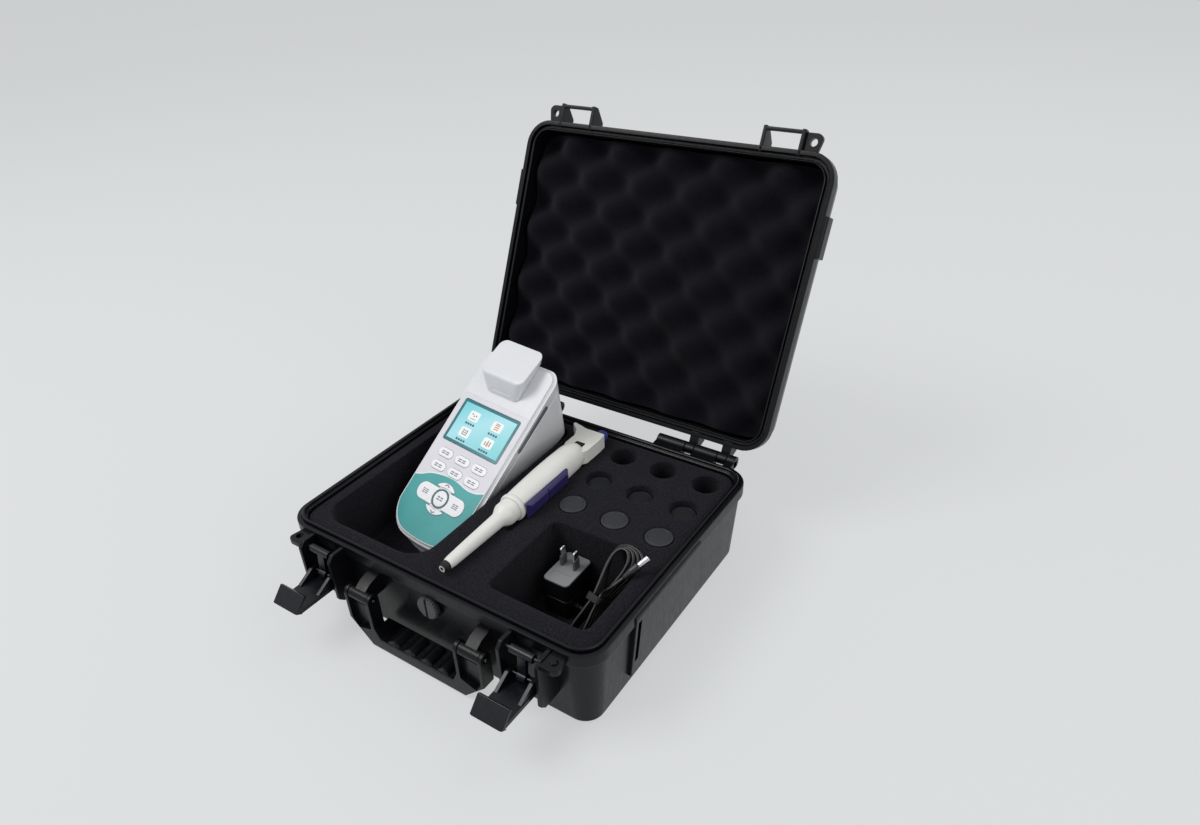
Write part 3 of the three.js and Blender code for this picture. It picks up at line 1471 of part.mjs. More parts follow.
function pipetteBody() {
  const middle = (BARREL_FRONT + BARREL_BACK) / 2;
  const barrel = turnedAlong([
    [0, BARREL_FRONT],
    [COLLAR_RADIUS - BARREL_EDGE, BARREL_FRONT],
    [COLLAR_RADIUS, BARREL_FRONT + BARREL_EDGE],
    [COLLAR_RADIUS, BARREL_FRONT + BARREL_STEP],
    [COLLAR_RADIUS - BARREL_EDGE, BARREL_FRONT + BARREL_STEP + BARREL_EDGE],
    [BARREL_BULGE, middle],
    [BARREL_BULGE - BARREL_EDGE, BARREL_BACK - SHAFT_FLARE],
    [HEAD_ROOT, BARREL_BACK],
    [0, BARREL_BACK],
  ]);
  const head = HEAD_SHARES.map(([x, y]) => [
    PIPETTE.x + x * HEAD_WIDE,
    HEAD_FRONT + y * HEAD_LENGTH,
  ]);
  const body = join(
    barrel,
    prism(head, "z", PIPETTE.z - HEAD_HALF, PIPETTE.z + HEAD_HALF),
  );
  const slot = block(
    PIPETTE.x + PANEL_SLOT.left,
    PIPETTE.x + PANEL_SLOT.right,
    PANEL_SLOT.front,
    PANEL_SLOT.back,
    PIPETTE.z + HEAD_HALF - PANEL_SLOT.deep,
    PIPETTE.z + HEAD_HALF + BARREL_BULGE,
  );
  const rodEnd = HEAD_BACK - PLUNGER.well - PLUNGER.rodLength;
  return cut(
    body,
    pipetteDrum(PLUNGER.x, PLUNGER.radius + RUN, HEAD_BACK - PLUNGER.well, HEAD_BACK + FAR, ROUND_SEGMENTS),
    pipetteDrum(PLUNGER.x, PLUNGER.rod + RUN, rodEnd, HEAD_BACK),
    pipetteDrum(EJECTOR.x, EJECTOR.radius + RUN, HEAD_BACK - EJECTOR.well, HEAD_BACK + FAR),
    slot,
  );
}

function plungerButton() {
  const rodEnd = HEAD_BACK - PLUNGER.well - PLUNGER.rodLength + PLUNGER.travel + SEAT;
  return join(
    pipetteDrum(
      PLUNGER.x,
      PLUNGER.radius,
      HEAD_BACK - PLUNGER.well + PLUNGER.travel + SEAT,
      HEAD_BACK + PLUNGER.proud,
      ROUND_SEGMENTS,
    ),
    pipetteDrum(PLUNGER.x, PLUNGER.rod, rodEnd, HEAD_BACK),
  );
}

const ejectorButton = () =>
  pipetteDrum(
    EJECTOR.x,
    EJECTOR.radius,
    HEAD_BACK - EJECTOR.well + EJECTOR.travel + SEAT,
    HEAD_BACK + EJECTOR.proud,
  );

function sidePanel() {
  const { front, length, half, out, inset, root } = PANEL;
  const outline = [
    [BARREL_BULGE - root, -half],
    [out - inset, -half],
    [out, -half + inset],
    [out, half - inset],
    [out - inset, half],
    [BARREL_BULGE - root, half],
  ].map(([x, z]) => [PIPETTE.z + z, PIPETTE.x + x]);
  const ends = [
    [PIPETTE.x, front],
    [PIPETTE.x + BARREL_BULGE, front],
    [PIPETTE.x + out, front + inset * 2],
    [PIPETTE.x + out, front + length - inset * 2],
    [PIPETTE.x + BARREL_BULGE, front + length],
    [PIPETTE.x, front + length],
  ];
  const bar = prism(outline, "y", front, front + length);
  const sides = prism(ends, "z", PIPETTE.z - half, PIPETTE.z + half);
  const room = [front - OVERRUN, front + length + OVERRUN];
  return cut(bar.intersect(sides), pipetteDrum(0, BARREL_BULGE + SEAT, ...room, WIDE_SEGMENTS));
}

// Power adapter and its cord

function adapterHousing() {
  const { x, y, wide, deep, top, corner } = ADAPTER;
  const ring = (inset, z) =>
    level(
      roundRect(
        x - wide / 2 + inset,
        x + wide / 2 - inset,
        y - deep / 2 + inset,
        y + deep / 2 - inset,
        corner - inset,
        SMALL_CORNER_STEPS,
      ),
      z,
    );
  const low = ADAPTER_POCKET.floor + SEAT;
  const edge = VIAL_EDGE;
  const body = loft([ring(edge, low), ring(0, low + edge), ring(0, top - edge), ring(edge, top)]);
  const sockets = [-1, 1].map((side) => {
    const middle = x + (side * PRONG_PITCH) / 2;
    const halfX = PRONG.thick / 2 + PRONG.sheath + SEAT;
    const halfY = PRONG.wide / 2 + PRONG.sheath + SEAT;
    const floor = top - PRONG.root - SEAT;
    const spans = [middle - halfX, middle + halfX, PRONG.y - halfY, PRONG.y + halfY];
    return block(...spans, floor, top + OVERRUN);
  });
  return cut(body, ...sockets);
}

function adapterProng(side) {
  const middle = ADAPTER.x + (side * PRONG_PITCH) / 2;
  const blade = (grow, low, high) =>
    block(
      middle - PRONG.thick / 2 - grow,
      middle + PRONG.thick / 2 + grow,
      PRONG.y - PRONG.wide / 2 - grow,
      PRONG.y + PRONG.wide / 2 + grow,
      low,
      high,
    );
  const low = ADAPTER.top - PRONG.root;
  const high = ADAPTER.top + PRONG.long;
  return join(blade(PRONG.sheath, low, high - PRONG.bare), blade(0, low + PRONG.sheath, high));
}

const PLUG_LINE = new THREE.Vector3(PLUG_AIM.x, PLUG_AIM.y, PLUG_AIM.z).normalize();
const PLUG_END = new THREE.Vector3(PLUG_TIP.x, PLUG_TIP.y, PLUG_TIP.z);
const plugPoint = (back) => PLUG_END.clone().addScaledVector(PLUG_LINE, -back);
const RELIEF_START = ADAPTER.x + ADAPTER.wide / 2 + SEAT;
const RELIEF_END = RELIEF_START + RELIEF.length;

function strainRelief() {
  const grip = RELIEF_START + RELIEF.length / 4;
  return join(
    drum("x", RELIEF.y, RELIEF.up, RELIEF.radius, RELIEF_START, grip, null, BORE_SEGMENTS),
    drum("x", RELIEF.y, RELIEF.up, RELIEF.neck, RELIEF_START, RELIEF_END, null, BORE_SEGMENTS, RELIEF.end),
  );
}

// The coil's own frame: a along it towards the back, b to the right and n out of its plane
const PITCH = HANK.pitchDeg * DEG;
const YAW = HANK.yawDeg * DEG;
const HANK_LONG = new THREE.Vector3(
  Math.sin(YAW) * Math.cos(PITCH),
  Math.cos(YAW) * Math.cos(PITCH),
  Math.sin(PITCH),
);
const HANK_ACROSS = new THREE.Vector3(Math.cos(YAW), -Math.sin(YAW), 0);
const HANK_OUT = new THREE.Vector3().crossVectors(HANK_ACROSS, HANK_LONG);
const HANK_MIDDLE = new THREE.Vector3(HANK.x, HANK.y, HANK.z);
const HANK_LAYERS = HANK_LOOPS * HANK_STEP;

const inHank = (a, b, n) =>
  HANK_MIDDLE.clone()
    .addScaledVector(HANK_LONG, a)
    .addScaledVector(HANK_ACROSS, b)
    .addScaledVector(HANK_OUT, n - HANK_LAYERS / 2);

// A point of the coil after some turns, counted from its near end
function hankPoint(turns) {
  const angle = turns * FULL - FULL / 4;
  const along = Math.sin(angle);
  const near = along < 0;
  const share = Math.abs(along);
  const widest = near ? HANK_NEAR_HALF : HANK_FAR_HALF;
  const spread = HANK_WAIST_HALF + (widest - HANK_WAIST_HALF) * HANK_BULGE * share ** 1.5;
  return inHank(
    along * (near ? HANK.near : HANK.far),
    Math.cos(angle) * spread,
    turns * HANK_STEP,
  );
}

const HANK_TURNS = HANK_LOOPS + (FULL / 4 - Math.asin(HANK_END / HANK.near)) / FULL;

// The coil's line, with both ends run straight for one diameter of the cord
function hankLine() {
  const count = Math.round(HANK_TURNS * HANK_STEPS);
  const turns = Array.from({ length: count + 1 }, (_, i) => hankPoint((i / count) * HANK_TURNS));
  const straight = (at, next) => at.clone().sub(next).setLength(2 * CORD_RADIUS).add(at);
  return [
    turns[0].clone().addScaledVector(HANK_ACROSS, -2 * CORD_RADIUS),
    ...turns,
    straight(turns[count], turns[count - 1]),
  ];
}

// The least gap of a line's tube to itself, leaving out neighbours along it
function leastGap(line, radius, steps) {
  const points = smoothPath(line).getSpacedPoints(steps);
  const stride = points[0].distanceTo(points[1]);
  const apart = Math.ceil((FULL * radius) / stride) + 1;
  const segment = new THREE.Line3();
  const near = new THREE.Vector3();
  let least = Infinity;
  points.forEach((point, i) => {
    for (let j = i + apart; j + 1 < points.length; j++) {
      segment.set(points[j], points[j + 1]).closestPointToPoint(point, true, near);
      least = Math.min(least, near.distanceTo(point));
    }
  });
  return least - 2 * radius;
}

function cordHank() {
  const line = hankLine();
  const gap = leastGap(line, CORD_RADIUS, line.length * 4);
  console.log(`Least gap of the coil to itself: ${gap.toFixed(2)} mm`);
  return tube(line, CORD_RADIUS, COIL_SIDES, line.length - 1);
}

const routeOf = (places) => places.map((place) => new THREE.Vector3(...place));
const cordLead = () => tube(routeOf(LEAD_ROUTE), CORD_RADIUS, CORD_SIDES, LEAD_STEPS);
const cordTail = () => tube(routeOf(TAIL_ROUTE), CORD_RADIUS, CORD_SIDES, TAIL_STEPS);

// A band round the coil's waist
function cordTie() {
  const frame = new THREE.Matrix4()
    .makeBasis(HANK_ACROSS, HANK_OUT, HANK_LONG.clone().negate())
    .setPosition(inHank(0, 0, 0));
  const half = HANK_WAIST_HALF + CORD_RADIUS + TIE.room;
  const low = -CORD_RADIUS - TIE.room;
  const high = HANK_LAYERS + HANK_STEP / 4 + CORD_RADIUS + TIE.room;
  const band = (grow, from, to) =>
    prism(
      roundRect(-half - grow, half + grow, low - grow, high + grow, TIE.corner + grow, SMALL_CORNER_STEPS),
      "z",
      from,
      to,
      frame,
    );
  const edge = TIE.wide / 2;
  return cut(band(TIE.thick, -edge, edge), band(0, -edge - OVERRUN, edge + OVERRUN));
}

function dcPlug() {
  const frame = new THREE.Matrix4().makeBasis(...plugBasis(PLUG_LINE));
  frame.setPosition(plugPoint(PLUG.length + PLUG.barrelLength));
  const { radius, length, barrel, barrelLength, edge } = PLUG;
  const outside = turned(
    [
      [0, 0],
      [radius - edge * 2, 0],
      [radius, length / 2],
      [radius, length - edge],
      [radius - edge, length],
      [barrel, length],
      [barrel, length + barrelLength],
      [0, length + barrelLength],
    ],
    0,
    0,
    BORE_SEGMENTS,
    frame,
  );
  const bore = drum("z", 0, 0, edge, length, length + barrelLength + OVERRUN, frame, BORE_SEGMENTS);
  return cut(outside, bore);
}

function plugBasis(line) {
  const across = new THREE.Vector3(1, 0, 0).cross(line).normalize();
  return [new THREE.Vector3().crossVectors(across, line), across, line];
}

// Sample vials, standing in the front two rows of holes
function vial() {
  const rest = VIAL_HEIGHT - VIAL_CAP_HEIGHT;
  return turned([
    [0, 0],
    [VIAL_RADIUS - VIAL_BASE_EDGE, 0],
    [VIAL_RADIUS, VIAL_BASE_EDGE],
    [VIAL_RADIUS, rest - VIAL_NECK],
    [VIAL_RADIUS - VIAL_NECK / 2, rest - VIAL_NECK / 2],
    [VIAL_RADIUS - VIAL_NECK / 2, rest],
    [VIAL_RADIUS, rest],
    [VIAL_RADIUS, VIAL_HEIGHT - VIAL_EDGE],
    [VIAL_RADIUS - VIAL_EDGE, VIAL_HEIGHT],
    [0, VIAL_HEIGHT],
  ]);
}

// Assembly

// A group turned about a line along X
function swung(degrees, y, z) {
  const group = new THREE.Group();
  const pin = new THREE.Vector3(0, y, z);
  group.rotation.x = degrees * DEG;
  group.position.copy(pin).sub(pin.clone().applyEuler(group.rotation));
  return group;
}

function placed(x, y, z, degrees = 0) {
  const group = new THREE.Group();
  group.position.set(x, y, z);
  group.rotation.x = degrees * DEG;
  return group;
}

function addCase(root) {
  piece("base_shell", baseShell(), BLACK_SHELL, root);
  piece("base_foam", baseFoam(), BLACK_FOAM, root);
  piece("carry_handle", carryHandle(), BLACK_SHELL, root);
  piece("valve_body", valveBody(), BLACK_SHELL, root);
  piece("valve_knob", valveKnob(), GREY_KNOB, root);
  const lid = swung(-LID_OPEN_DEG, PIN_Y, PIN_Z);
  root.add(lid);
  piece("lid_shell", lidShell(), BLACK_SHELL, lid);
  piece("lid_gasket", lidGasket(), BLACK_RUBBER, lid);
  piece("lid_foam", lidFoam(), BLACK_FOAM, lid);
  for (const [name, side] of SIDES) {
    const hinge = placed(side * HINGE_X, PIN_Y, PIN_Z);
    const grip = placed(side * HANDLE_X, HANDLE_Y, HANDLE_PIN.up);
    const link = placed(side * LATCH_X, FRONT - LINK_AXLE.reach, LINK_AXLE.up);
    const lever = placed(side * LATCH_X, FRONT - LEVER_AXLE.reach, LEVER_AXLE.up, LEVER_SWING_DEG);
    root.add(hinge, grip, link, lever);
    piece(`hinge_pin_${name}`, pinAcross(HINGE_PIN_RADIUS, BARREL_WIDTH / 2), STEEL, hinge);
    piece(`handle_pin_${name}`, pinAcross(HANDLE_PIN_RADIUS, HANDLE_ARM / 2), BLACK_SHELL, grip);
    piece(`latch_link_${name}`, latchLink(), BLACK_LEVER, link);
    piece(`link_pin_${name}`, pinAcross(LATCH_PIN_RADIUS, EAR_GAP / 2 + EAR_THICK), STEEL, link);
    piece(`latch_lever_${name}`, latchLever(), BLACK_LEVER, lever);
    piece(`lever_pin_${name}`, pinAcross(LATCH_PIN_RADIUS, LEVER_WIDTH / 2 - CHEEK_INSET), STEEL, lever);
  }
}

function addMeter(root) {
  const meter = new THREE.Group();
  meter.rotation.set(METER_LEAN_DEG * DEG, 0, METER_YAW_DEG * DEG, "ZXY");
  const screen = new THREE.Vector3(0, SCREEN_Y, SCREEN_Z).applyEuler(meter.rotation);
  const { x, y, z } = METER_SCREEN_PLACE;
  meter.position.set(x, y, z).sub(screen);
  root.add(meter);
  piece("meter_lower_housing", lowerHousing(), WHITE_SHELL, meter);
  piece("meter_upper_housing", upperHousing(), WHITE_SHELL, meter);
  piece("meter_face_overlay", faceOverlay(), OVERLAY_FILM, meter);
  const glass = prism(screenOutline(0), "z", -SCREEN_THICK, 0, FACE);
  piece("meter_screen", glass, SCREEN_GLASS, meter);
  piece("cuvette_cover", cuvetteCover(), WHITE_SHELL, meter);
  piece("cover_hinge_pin", coverPin(COVER_PIN_RADIUS, COVER_PIN_LENGTH / 2 - COVER_PIN_PLAY), STEEL, meter);
  piece("cuvette_well", cuvetteWell(), DARK_WELL, meter);
  piece("battery_cover", batteryBlock(0, 0, BATTERY.thick), WHITE_SHELL, meter);
  keySolids(0, KEY_BACK, KEY_PROUD).forEach(([name, body]) => piece(name, body, WHITE_KEY, meter));
}

function addKit(root) {
  piece("pipette_body", pipetteBody(), IVORY, root);
  piece("plunger_button", plungerButton(), BLUE, root);
  piece("ejector_button", ejectorButton(), BLUE, root);
  piece("nose_cone", noseCone(), IVORY, root);
  piece("side_panel", sidePanel(), NAVY, root);
  piece("tip_collar", tipCollar(), BLACK_CORD, root);
  piece("adapter_housing", adapterHousing(), GREY_ADAPTER, root);
  piece("adapter_prong_left", adapterProng(-1), STEEL, root);
  piece("adapter_prong_right", adapterProng(1), STEEL, root);
  piece("strain_relief", strainRelief(), BLACK_CORD, root);
  piece("cord_lead", cordLead(), BLACK_CORD, root);
  piece("cord_hank", cordHank(), BLACK_CORD, root);
  piece("cord_tail", cordTail(), BLACK_CORD, root);
  piece("cord_tie", cordTie(), BLACK_CORD, root);
  piece("dc_plug", dcPlug(), BLACK_CORD, root);
  for (let row = 0; row < VIAL_FILLED_ROWS; row++) {
    for (let column = 0; column < VIAL_COLUMNS; column++) {
      const hole = vialHole(column, row);
      const stand = placed(hole.x, hole.y, hole.top - VIAL_HEIGHT);
      root.add(stand);
      piece(`vial_${row * VIAL_COLUMNS + column + 1}`, vial(), VIAL_FINISH, stand);
    }
  }
}

const kit = new THREE.Group();
addCase(kit);
addMeter(kit);
addKit(kit);

export default kit;
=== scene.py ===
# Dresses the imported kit: a water quality meter, a pipette, vials and a power adapter in a lidded case.
# Sizes are millimetres while a mesh is made and metres once it is a piece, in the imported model's frame.
import math

import bmesh
import bpy
from mathutils import Matrix, Vector, noise


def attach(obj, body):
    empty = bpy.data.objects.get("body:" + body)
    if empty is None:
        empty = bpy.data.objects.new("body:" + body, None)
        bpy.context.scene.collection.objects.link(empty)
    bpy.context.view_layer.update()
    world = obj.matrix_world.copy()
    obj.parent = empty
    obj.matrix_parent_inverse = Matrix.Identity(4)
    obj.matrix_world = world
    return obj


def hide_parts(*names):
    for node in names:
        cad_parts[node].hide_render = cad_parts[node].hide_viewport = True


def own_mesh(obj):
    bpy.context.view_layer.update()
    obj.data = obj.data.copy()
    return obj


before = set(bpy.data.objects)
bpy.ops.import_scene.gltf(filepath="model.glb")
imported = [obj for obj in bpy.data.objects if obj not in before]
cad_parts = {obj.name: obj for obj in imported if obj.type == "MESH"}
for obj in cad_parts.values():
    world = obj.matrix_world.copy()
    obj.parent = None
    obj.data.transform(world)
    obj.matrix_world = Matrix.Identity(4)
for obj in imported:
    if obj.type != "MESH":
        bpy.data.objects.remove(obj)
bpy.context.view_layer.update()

MM = 0.001
SEAT = 0.3
SHARP_DEG = 38
ROUND = 48
CORNER_STEPS = 9
CASE_WIDTH, CASE_DEPTH, RIM, LID_HEIGHT = 316, 260, 80, 42
CASE_CORNER, BAND_HEIGHT, BAND_WIDTH, WALL, FLOOR = 24, 11, 9, 3.2, 3.6
BAND_STEP, BASE_TAPER, LID_TAPER, EDGE_ROUND, LID_ROUND, FOOT_ROUND = 3, 7.8, 6.5, 6, 7.6, 2.8
TONGUE_INSET, TONGUE_WIDTH, TONGUE_HEIGHT, GROOVE_DEPTH = 4.6, 2.4, 3, 6
HALF_WIDTH = CASE_WIDTH / 2
FRONT = -CASE_DEPTH / 2
BACK = CASE_DEPTH / 2
BAND_LOW = RIM - BAND_HEIGHT
PIN = {"y": BACK + 11.4, "z": RIM - 1.8}
LID_OPEN_DEG = 114.7
LID_LOW = RIM + SEAT
LID_TOP = RIM + LID_HEIGHT
LID_BAND = LID_LOW + BAND_HEIGHT
LID_INSIDE_TOP = LID_TOP - WALL
HINGE_X, BARREL_RADIUS, BARREL_WIDTH = 96.5, 5.5, 80
ARM_WIDTH, ARM_A, ARM_B, ARM_TOP, ARM_THICK, ARM_SHOULDER_SHARE = 9, 90.5, 123.5, 96, 4, 0.8
SIDES = (("left", -1), ("right", 1))


def frame_from(across, upward, back, place):
    """A frame with these three axes at a place."""
    return Matrix.Translation(place) @ Matrix((across, upward, back)).transposed().to_4x4()


def add_object(name, data):
    obj = bpy.data.objects.new(name, data)
    bpy.context.scene.collection.objects.link(obj)
    return obj


# Camera of the photograph
CAMERA = {"x": 383.81, "y": -446.51, "z": 524.30, "azimuth": 36.26, "elevation": 35.13, "roll": -3.29}
FILM = {"width": 1200, "height": 825, "focal": 842.98, "x": 572.25, "y": 463.55, "sensor": 36}


def add_camera():
    azimuth, elevation, roll = (math.radians(CAMERA[key]) for key in ("azimuth", "elevation", "roll"))
    flat = math.cos(elevation)
    back = Vector((math.sin(azimuth) * flat, -math.cos(azimuth) * flat, math.sin(elevation)))
    right = Vector((math.cos(azimuth), math.sin(azimuth), 0))
    up = back.cross(right)
    across = right * math.cos(roll) + up * math.sin(roll)
    upward = up * math.cos(roll) - right * math.sin(roll)
    data = bpy.data.cameras.new("camera")
    data.sensor_width = FILM["sensor"]
    data.lens = FILM["focal"] / FILM["width"] * FILM["sensor"]
    data.shift_x = (FILM["width"] / 2 - FILM["x"]) / FILM["width"]
    data.shift_y = (FILM["y"] - FILM["height"] / 2) / FILM["width"]
    data.clip_end = 100
    camera = add_object("camera", data)
    place = Vector((CAMERA["x"], CAMERA["y"], CAMERA["z"])) * MM
    camera.matrix_world = frame_from(across, upward, back, place)
    bpy.context.scene.camera = camera


add_camera()


# Materials


def linear(red, green, blue):
    def one(value):
        value /= 255
        return value / 12.92 if value <= 0.04045 else ((value + 0.055) / 1.055) ** 2.4

    return (one(red), one(green), one(blue), 1)


def shade(colour, factor):
    return (*(min(1, channel * factor) for channel in colour[:3]), 1)


class Nodes:
    """The nodes of a material or of the world, with short calls that add and join them."""

    def __init__(self, owner, shader="Principled BSDF"):
        owner.use_nodes = True
        self.owner = owner
        self.tree = owner.node_tree
        self.shader = self.tree.nodes[shader]
        self.coordinates = None

    def put(self, node, inputs):
        """Gives a node its inputs, each a plain value or the output of another node."""
        for key, value in inputs.items():
            if isinstance(value, bpy.types.NodeSocket):
                self.tree.links.new(value, node.inputs[key])
            else:
                node.inputs[key].default_value = value
        return node

    def add(self, kind, inputs, **settings):
        node = self.tree.nodes.new("ShaderNode" + kind)
        for key, value in settings.items():
            setattr(node, key, value)
        return self.put(node, inputs)

    def where(self):
        if self.coordinates is None:
            self.coordinates = self.add("TexCoord", {}).outputs["Object"]
        return self.coordinates

    def chart(self):
        """The place on the meter's face, across and along, in units of 100 mm."""
        chart = self.add("Attribute", {}, attribute_name="chart").outputs["Vector"]
        split = self.add("SeparateXYZ", {"Vector": chart})
        return split.outputs["X"], split.outputs["Y"]

    def noise(self, size, detail=2, stretch=None):
        where = self.where()
        if stretch:
            where = self.add("Mapping", {"Vector": where, "Scale": stretch}).outputs["Vector"]
        inputs = {"Vector": where, "Scale": 1 / (size * MM), "Detail": detail}
        return self.add("TexNoise", inputs).outputs["Fac"]

    def blend(self, factor, first, second):
        mix = self.add("Mix", {"Factor": factor}, data_type="RGBA")
        places = [place for place, socket in enumerate(mix.inputs) if socket.type == "RGBA"]
        self.put(mix, dict(zip(places, (first, second))))
        return next(socket for socket in mix.outputs if socket.type == "RGBA")

    def range(self, value, low, high, start=0, end=1):
        inputs = {"Value": value, "From Min": start, "From Max": end, "To Min": low, "To Max": high}
        return self.add("MapRange", inputs).outputs["Result"]

    def math(self, operation, first, second=0.0):
        return self.add("Math", {0: first, 1: second}, operation=operation).outputs["Value"]

    def bump(self, height, strength, depth):
        inputs = {"Height": height, "Strength": strength, "Distance": depth * MM}
        if self.shader.inputs["Normal"].links:
            inputs["Normal"] = self.shader.inputs["Normal"].links[0].from_socket
        self.put(self.shader, {"Normal": self.add("Bump", inputs).outputs["Normal"]})


def material_nodes(name):
    return Nodes(bpy.data.materials.new(name))


# Size of the patches of uneven colour on a moulded surface
PATCH = 22


def plastic(name, colour, rough, grain=0.7, depth=0.02, mottle=0.12, spread=0.05, metallic=0, gleam=0.5):
    """A moulded surface: fine grain, slight unevenness of colour and gloss, and faint handling marks."""
    nodes = material_nodes(name)
    colour = linear(*colour)
    near = nodes.range(nodes.noise(PATCH, detail=4), 0, 1, start=0.3, end=0.7)
    marks = nodes.noise(PATCH / 6, detail=5, stretch=(1, 1, 0.35))
    look = {
        "Base Color": nodes.blend(near, shade(colour, 1 - mottle), shade(colour, 1 + mottle)),
        "Roughness": nodes.range(marks, rough - spread, rough + spread, start=0.25, end=0.75),
        "Metallic": metallic,
        "Specular IOR Level": gleam,
    }
    nodes.put(nodes.shader, look)
    nodes.bump(nodes.noise(grain, detail=3), 0.35, depth)
    return nodes.owner


def foam_material(name, colour, cell, depth):
    nodes = material_nodes(name)
    colour = linear(*colour)
    cells = nodes.add("TexVoronoi", {"Vector": nodes.where(), "Scale": 1 / (cell * MM)}).outputs["Distance"]
    fine = nodes.noise(cell * 0.6, detail=4)
    speck = nodes.range(fine, 0, 1, start=0.42, end=0.66)
    toned = nodes.blend(speck, shade(colour, 0.3), shade(colour, 3))
    wide = nodes.range(nodes.noise(cell * 14, detail=3), 0, 0.4, start=0.35, end=0.65)
    look = {
        "Base Color": nodes.blend(wide, toned, shade(colour, 1.08)),
        "Roughness": 0.96,
        "Specular IOR Level": 0.12,
        "Sheen Weight": 0.04,
        "Sheen Roughness": 0.6,
    }
    nodes.put(nodes.shader, look)
    nodes.bump(cells, 0.5, depth)
    nodes.bump(fine, 0.6, depth)
    return nodes.owner


SHELL = plastic("case_shell", (9, 10, 14), 0.32, grain=0.5, depth=0.03, spread=0.06, gleam=0.22)
LATCH = plastic("latch_plastic", (13, 14, 21), 0.3, grain=1.2, depth=0.01, spread=0.07, gleam=0.32)
DARK_STEEL = plastic("dark_steel", (58, 58, 62), 0.38, grain=0.3, depth=0.006, metallic=1.0)
RUBBER = plastic("gasket_rubber", (14, 14, 16), 0.7, grain=0.4, depth=0.03)
STEEL = plastic("steel", (196, 198, 200), 0.26, grain=0.25, depth=0.006, mottle=0.05, metallic=1.0)
KNOB = plastic("valve_plastic", (58, 59, 59), 0.45, grain=0.4, depth=0.03)
WHITE = plastic("meter_shell", (222, 223, 226), 0.36, grain=0.45, depth=0.012, mottle=0.02)
GROOVE = plastic("grip_rubber", (104, 108, 110), 0.55, grain=0.5, depth=0.03)
KEY = plastic("key_rubber", (240, 240, 243), 0.4, grain=0.35, depth=0.01, mottle=0.015)
LEGEND = plastic("legend_grey", (126, 128, 134), 0.5, grain=0.4, depth=0.004, mottle=0.05)
WELL = plastic("well_plastic", (40, 42, 46), 0.45)
IVORY = plastic("pipette_ivory", (228, 227, 222), 0.34, grain=0.6, depth=0.012, mottle=0.025)
NAVY = plastic("pipette_navy", (42, 36, 88), 0.36, grain=0.5, depth=0.012, mottle=0.1)
BLUE = plastic("button_blue", (60, 63, 134), 0.32, grain=0.5, depth=0.012, mottle=0.08)
ADAPTER = plastic("adapter_plastic", (134, 135, 137), 0.38, grain=0.35, depth=0.03, mottle=0.08)
# Near-black copy of the adapter plastic: painted shade for the adapter's sides, where the light falls off
ADAPTER_SHADED_SIDE = plastic("adapter_shaded_side", (18, 18, 20), 0.4, grain=0.35, depth=0.03, gleam=0.3)
SHEATH = plastic("prong_sheath", (84, 85, 88), 0.45, grain=0.4, depth=0.02)
CORD = plastic("cord_jacket", (20, 20, 22), 0.34, grain=0.8, depth=0.02)
CAP = plastic("vial_cap", (44, 45, 49), 0.5, grain=0.35, depth=0.03, mottle=0.1, gleam=0.4)
BASE_FOAM = foam_material("base_foam", (20, 19, 25), 1.6, 0.6)
LID_FOAM = foam_material("lid_foam", (8, 7, 15), 0.9, 0.4)
RING = plastic("pad_ring", (24, 92, 98), 0.4, mottle=0.05)
TILE = plastic("tile_white", (244, 246, 244), 0.3, mottle=0.02)
INK = plastic("caption_ink", (38, 62, 76), 0.4)
WARM = plastic("tile_warm", (206, 148, 110), 0.4)
SLATE = plastic("tile_slate", (96, 108, 118), 0.4)
# A darker copy of the vial cap plastic: painted shade for the caps of the second row, which sit lower in the
# foam
SHADED_CAP = plastic("shaded_vial_cap", (22, 23, 26), 0.5, grain=0.35, depth=0.03, mottle=0.1, gleam=0.3)
BOTTLE = plastic("bottle_plastic", (150, 154, 158), 0.3, mottle=0.03)


# Shapes


def at(axis, a, b, c):
    """A point from its two places across an axis and its place along it."""
    return {"x": (c, a, b), "y": (b, c, a), "z": (a, b, c)}[axis]


def corner_arc(x, y, radius, quarter, steps):
    """Points of a quarter circle. The quarters count anticlockwise from the right."""
    for step in range(steps + 1):
        angle = (quarter + step / steps) * math.pi / 2
        yield x + radius * math.cos(angle), y + radius * math.sin(angle)


def sweep(radius, start, turn, steps, x=0, y=0):
    """Points of a circle's line from one angle on, over a turn."""
    for i in range(steps + 1):
        angle = start + turn * i / steps
        yield x + radius * math.cos(angle), y + radius * math.sin(angle)


def round_rect(x0, x1, y0, y1, corner, steps=CORNER_STEPS):
    left, right, low, high = x0 + corner, x1 - corner, y0 + corner, y1 - corner
    points = []
    for quarter, (x, y) in enumerate(((right, high), (left, high), (left, low), (right, low))):
        points += corner_arc(x, y, corner, quarter, steps)
    return points


def circle(radius, x=0, y=0, count=ROUND):
    turn = 2 * math.pi / count
    return [(x + radius * math.cos(i * turn), y + radius * math.sin(i * turn)) for i in range(count)]


def fillet(points, radius, steps=3, closed=False):
    """Rounds the corners of a line of points, as far as its stretches allow."""
    made = []
    count = len(points)
    for i, point in enumerate(points):
        here = Vector(point)
        if not closed and i in (0, count - 1):
            made.append(tuple(here))
            continue
        before = Vector(points[i - 1]) - here
        after = Vector(points[(i + 1) % count]) - here
        reach = min(radius, before.length * 0.45, after.length * 0.45)
        start = here + before.normalized() * reach
        end = here + after.normalized() * reach
        for step in range(steps + 1):
            t = step / steps
            made.append(tuple(start * (1 - t) ** 2 + here * (2 * t * (1 - t)) + end * t**2))
    return made


def level(outline, height):
    return [(x, y, height) for x, y in outline]


def tidy(bm):
    bmesh.ops.remove_doubles(bm, verts=bm.verts, dist=1e-4)
    bmesh.ops.recalc_face_normals(bm, faces=bm.faces)
    return bm


def strip(bm, low, high):
    """Faces between two rings of as many corners."""
    for i in range(len(low)):
        j = (i + 1) % len(low)
        bm.faces.new((low[i], low[j], high[j], high[i]))


